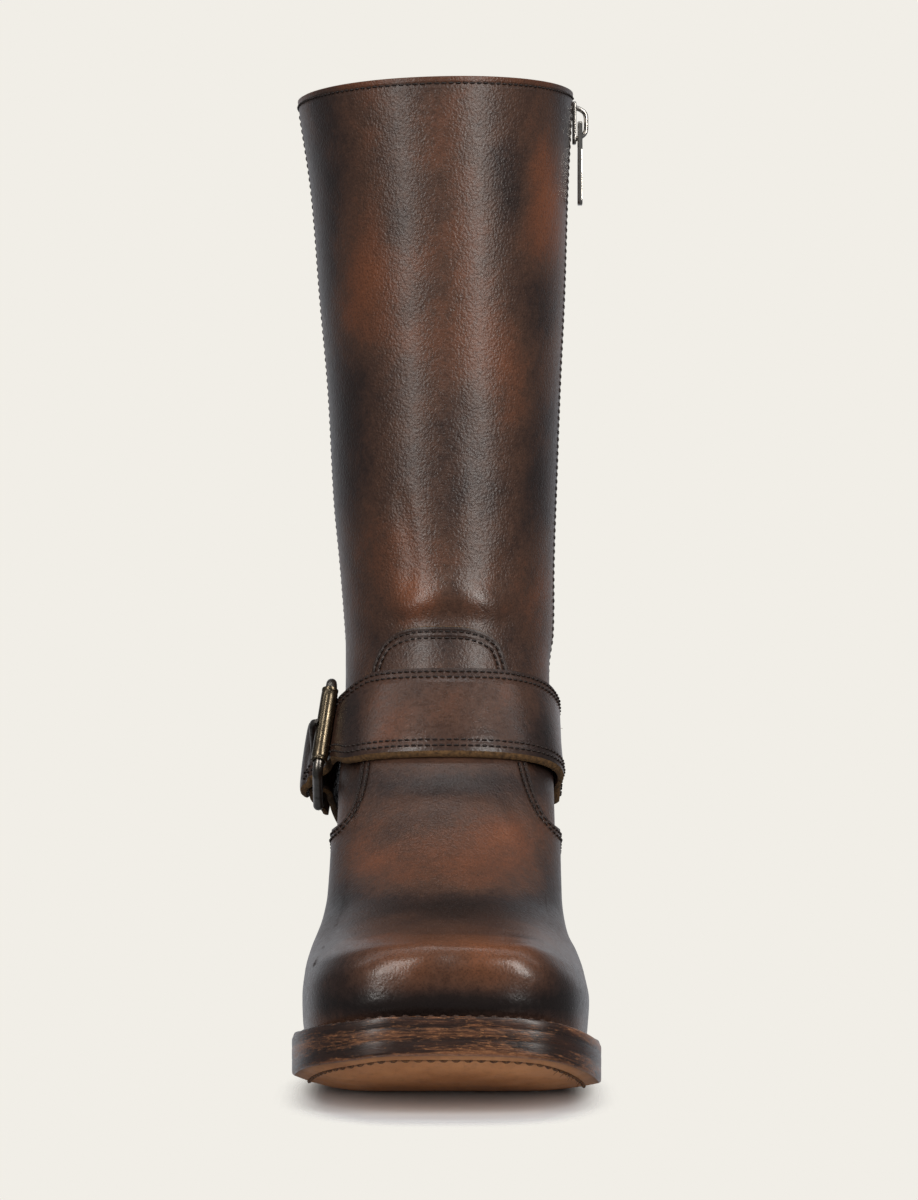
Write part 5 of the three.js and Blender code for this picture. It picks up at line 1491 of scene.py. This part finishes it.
def shaft_sewing():
    """One row round the collar, two on each side of the zip, and one on each side of the outer seam."""
    u = np.linspace(0, 1, 700)
    half = slot_half(np.array([TOP]))[0]
    turns = float(zip_turn(TOP)) + half + 0.004 + u * (1 - 2 * half - 0.008)
    rows = [(turns, np.full(len(u), TOP - 2.2), 0.05, 0.36)]
    levels = np.linspace(ZIP_BOTTOM - 3, TOP - 3.2, 260)
    for side in (-1, 1):
        for inset in (2.2, 6.8):
            turns = zip_turn(levels) + side * (slot_half(levels) + inset / turn_length(levels))
            rows.append((turns, levels, -0.13, 0.3))
    levels = np.linspace(48, TOP - 4, 260)
    rows += [(seam_turn(levels) + inset / turn_length(levels), levels, 0.0, 0.34) for inset in (-1.6, 1.6)]
    sew("shaft_sewing", [(surface(turns, levels, distance), normal(turns, levels), thick)
                         for turns, levels, distance, thick in rows], pitch=2.6)


def sole_sewing():
    keep = LAST_FLAT[:, 1] < BREAST_Y + 6
    for name, material, slot, inset, height, way, thick, share in (
            ("welt_sewing", WELT_THREAD, "edge_leather", 2.4, WELT_TOP + 0.05, 1.0, 0.6, 0.72),
            ("channel_sewing", FRAY, "sole_leather", 5.75, 0.25, -1.0, 0.62, 0.8)):
        path = at_height(sole_line(EXTENSION - inset)[keep], height)
        sew(name, [(path, np.array([0.0, 0.0, way]) + 0 * path)], material, slot, pitch=4.0, thick=thick, share=share)


def chape_sewing():
    """The box of stitches that holds the chape's leaf to the boot."""
    middles, ups, faces = CHAPE
    run = run_along(middles)
    side = 0.82
    lines = [(np.full(24, run[-1] - inset), np.linspace(-side, side, 24)) for inset in (2.2, 14.0)]
    lines += [(np.linspace(run[-1] - 14, run[-1] - 2.2, 14), np.full(14, share)) for share in (-side, side)]
    sewn = []
    for at, share in lines:
        middle, up, face = (read_line(part, run, at) for part in (middles, ups, faces))
        sewn.append((middle + up * (share * CHAPE_WIDTH / 2)[:, None] - face * CHAPE_THICK / 2, -face))
    sew("chape_sewing", sewn, thick=0.38)


def strands(name, fibres, radius=0.11):
    """Loose fibres, each a start, a way and a length: it bends over and thins out."""
    build = Build()
    t = np.linspace(0, 1, 7)[:, None]
    for i, (start, way, length) in enumerate(fibres):
        bend = np.array([0.5 * np.sin(2.1 * i + 0.4), 0.3 * np.cos(1.3 * i), -0.35])
        path = start + unit(way) * length * t + bend * length * t ** 2 * 0.6
        build.grid(tube(path, radius * (1 - 0.75 * t[:, 0]), 5), 0, closed=True, flip=True)
    build.make(name, [FRAY])


def nearest(points, pixel, front):
    """The place of the point seen nearest to a column of the photograph, of those in front of a plane."""
    x, _ = photo_place(points)
    return int(np.argmin(np.abs(x - pixel) + 1000 * (points[:, 1] > front)))


def loose_fibres():
    middles, ups, outs, halves, _ = STRAP
    top = middles + ups * (halves - 0.3)[:, None] + outs * (STRAP_THICK - 0.4)
    fibres = []
    for i, pixel in enumerate((364, 367, 369, 372, 401, 405, 408, 441, 470)):
        k = nearest(top, pixel, -60)
        length = 1.1 + 0.9 * abs(np.sin(1.7 * i)) if i < 4 else 0.9
        fibres.append((top[k], ups[k] + outs[k] * 0.5 + np.array([0.5 * np.sin(3 * i), 0, 0]), length))
    end = middles[0] + ups[0] * (halves[0] - 7) + outs[0] * STRAP_THICK
    for i in range(3):
        fibres.append((end + ups[0] * (0.5 * i - 0.5), np.array([1.0, -0.2, 0.5 - 0.5 * i]), 1.5))
    strands("strap_fibres", fibres)
    edge = at_height(sole_line(EXTENSION - 5.8), 0.2)
    strands("sole_fibres", [
        (edge[nearest(edge, pixel, -150)], np.array([np.sin(2.3 * i), -0.7, -0.6 + 0.3 * np.cos(1.9 * i)]),
         1.4 + 0.8 * abs(np.sin(1.1 * i))) for i, pixel in enumerate(np.linspace(556, 583, 15))], radius=0.16)


strap_sewing()
shaft_sewing()
sole_sewing()
chape_sewing()
loose_fibres()


# Camera, studio light and floor

camera_data = bpy.data.cameras.new("camera")
camera_data.sensor_width = 36.0
camera_data.lens = FOCAL * 36.0 / 1200
camera_data.shift_x = (459 - CENTRE_X) / 1200
camera_data.clip_start = 0.05
camera_data.clip_end = 50
camera = bpy.data.objects.new("camera", camera_data)
camera.location = (0, CAMERA_Y / 1000, CAMERA_Z / 1000)
camera.rotation_euler = (math.pi / 2, 0, 0)
bpy.context.scene.collection.objects.link(camera)
bpy.context.scene.camera = camera
bpy.context.scene.view_settings.view_transform = "Standard"
bpy.context.scene.view_settings.look = "None"


# Paper all round, light that is strongest from behind and above, and the floor's two greys
PAPER = colour("f1eee7")
FLOOR_TINTS = ("d4d5d8", "d8d9db")
WORLD_TINT = (0.93, 0.95, 1.0, 1.0)
WORLD_FRONT = 0.12
WORLD_BACK = 0.62


def make_world():
    """A pale studio: plain paper to look at, and light that is strongest from behind and above."""
    world = bpy.data.worlds.new("studio")
    bpy.context.scene.world = world
    world.use_nodes = True
    tree = world.node_tree
    tree.nodes.clear()
    kinds = ("TexCoord", "SeparateXYZ", "MapRange", "Background", "Background", "LightPath", "MixShader",
             "OutputWorld")
    place, parts, amount, lamp, paper, ray, mixed, out = (tree.nodes.new("ShaderNode" + kind) for kind in kinds)
    amount.interpolation_type = "SMOOTHSTEP"
    for key, value in (("From Min", 0.66), ("From Max", 1.0), ("To Min", WORLD_FRONT), ("To Max", WORLD_BACK)):
        amount.inputs[key].default_value = value
    lamp.inputs[0].default_value = WORLD_TINT
    paper.inputs[0].default_value = PAPER
    for source, target in (
            (place.outputs["Generated"], parts.inputs[0]), (parts.outputs[1], amount.inputs["Value"]),
            (amount.outputs[0], lamp.inputs[1]), (ray.outputs["Is Camera Ray"], mixed.inputs[0]),
            (lamp.outputs[0], mixed.inputs[1]), (paper.outputs[0], mixed.inputs[2]), (mixed.outputs[0], out.inputs[0])):
        tree.links.new(source, target)


make_world()


def softbox(name, place, target, size, power, tint=(1, 1, 1)):
    light = bpy.data.lights.new(name, "AREA")
    light.shape = "RECTANGLE"
    light.size, light.size_y = size
    light.energy = power
    light.color = tint
    obj = bpy.data.objects.new(name, light)
    obj.location = place
    obj.rotation_euler = (Vector(target) - Vector(place)).to_track_quat("-Z", "Y").to_euler()
    bpy.context.scene.collection.objects.link(obj)


WARM_WHITE = (1, 0.97, 0.93)
softbox("left_softbox", (-0.88, -1.2, 0.8), (0, -0.06, 0.18), (0.27, 1.7), 16.5, WARM_WHITE)
softbox("right_softbox", (0.96, -1.15, 0.8), (0, -0.06, 0.18), (0.28, 1.7), 20.5, WARM_WHITE)
for name, side in (("strip_left", -1), ("strip_right", 1)):
    softbox(name, (0.56 * side, -0.05, 1.45), (0.16 * side, -0.1, 0.15), (0.2, 1.9), 2.8)


def make_floor():
    """A pale floor, there only near the boot: paper-white light surrounds it."""
    x, y = np.meshgrid(np.linspace(-150, 150, 121), np.linspace(-340, 130, 189))
    grid = np.stack([x, y, 0 * x - 0.02], axis=-1)
    filled = across_ring(SOLE_FLAT, 0.0).reshape(-1, 3) * np.array([0.74, 1, 0]) - np.array([0, 6, 0])
    beyond = boundary_distance(grid, filled)
    build = Build().grid(grid, 0, shown=1 - ease((beyond - 2) / 17))
    s = Shader("floor", Roughness=0.9, Specular_IOR_Level=0.0)
    tint = s.ramp(s.noise(s.place(), 30, 2), [(0.3, FLOOR_TINTS[0]), (0.7, FLOOR_TINTS[1])])
    s.link(tint, s.main.inputs["Base Color"])
    s.link(s.read("shown"), s.main.inputs["Alpha"])
    build.plain("floor", [s.material])


make_floor()
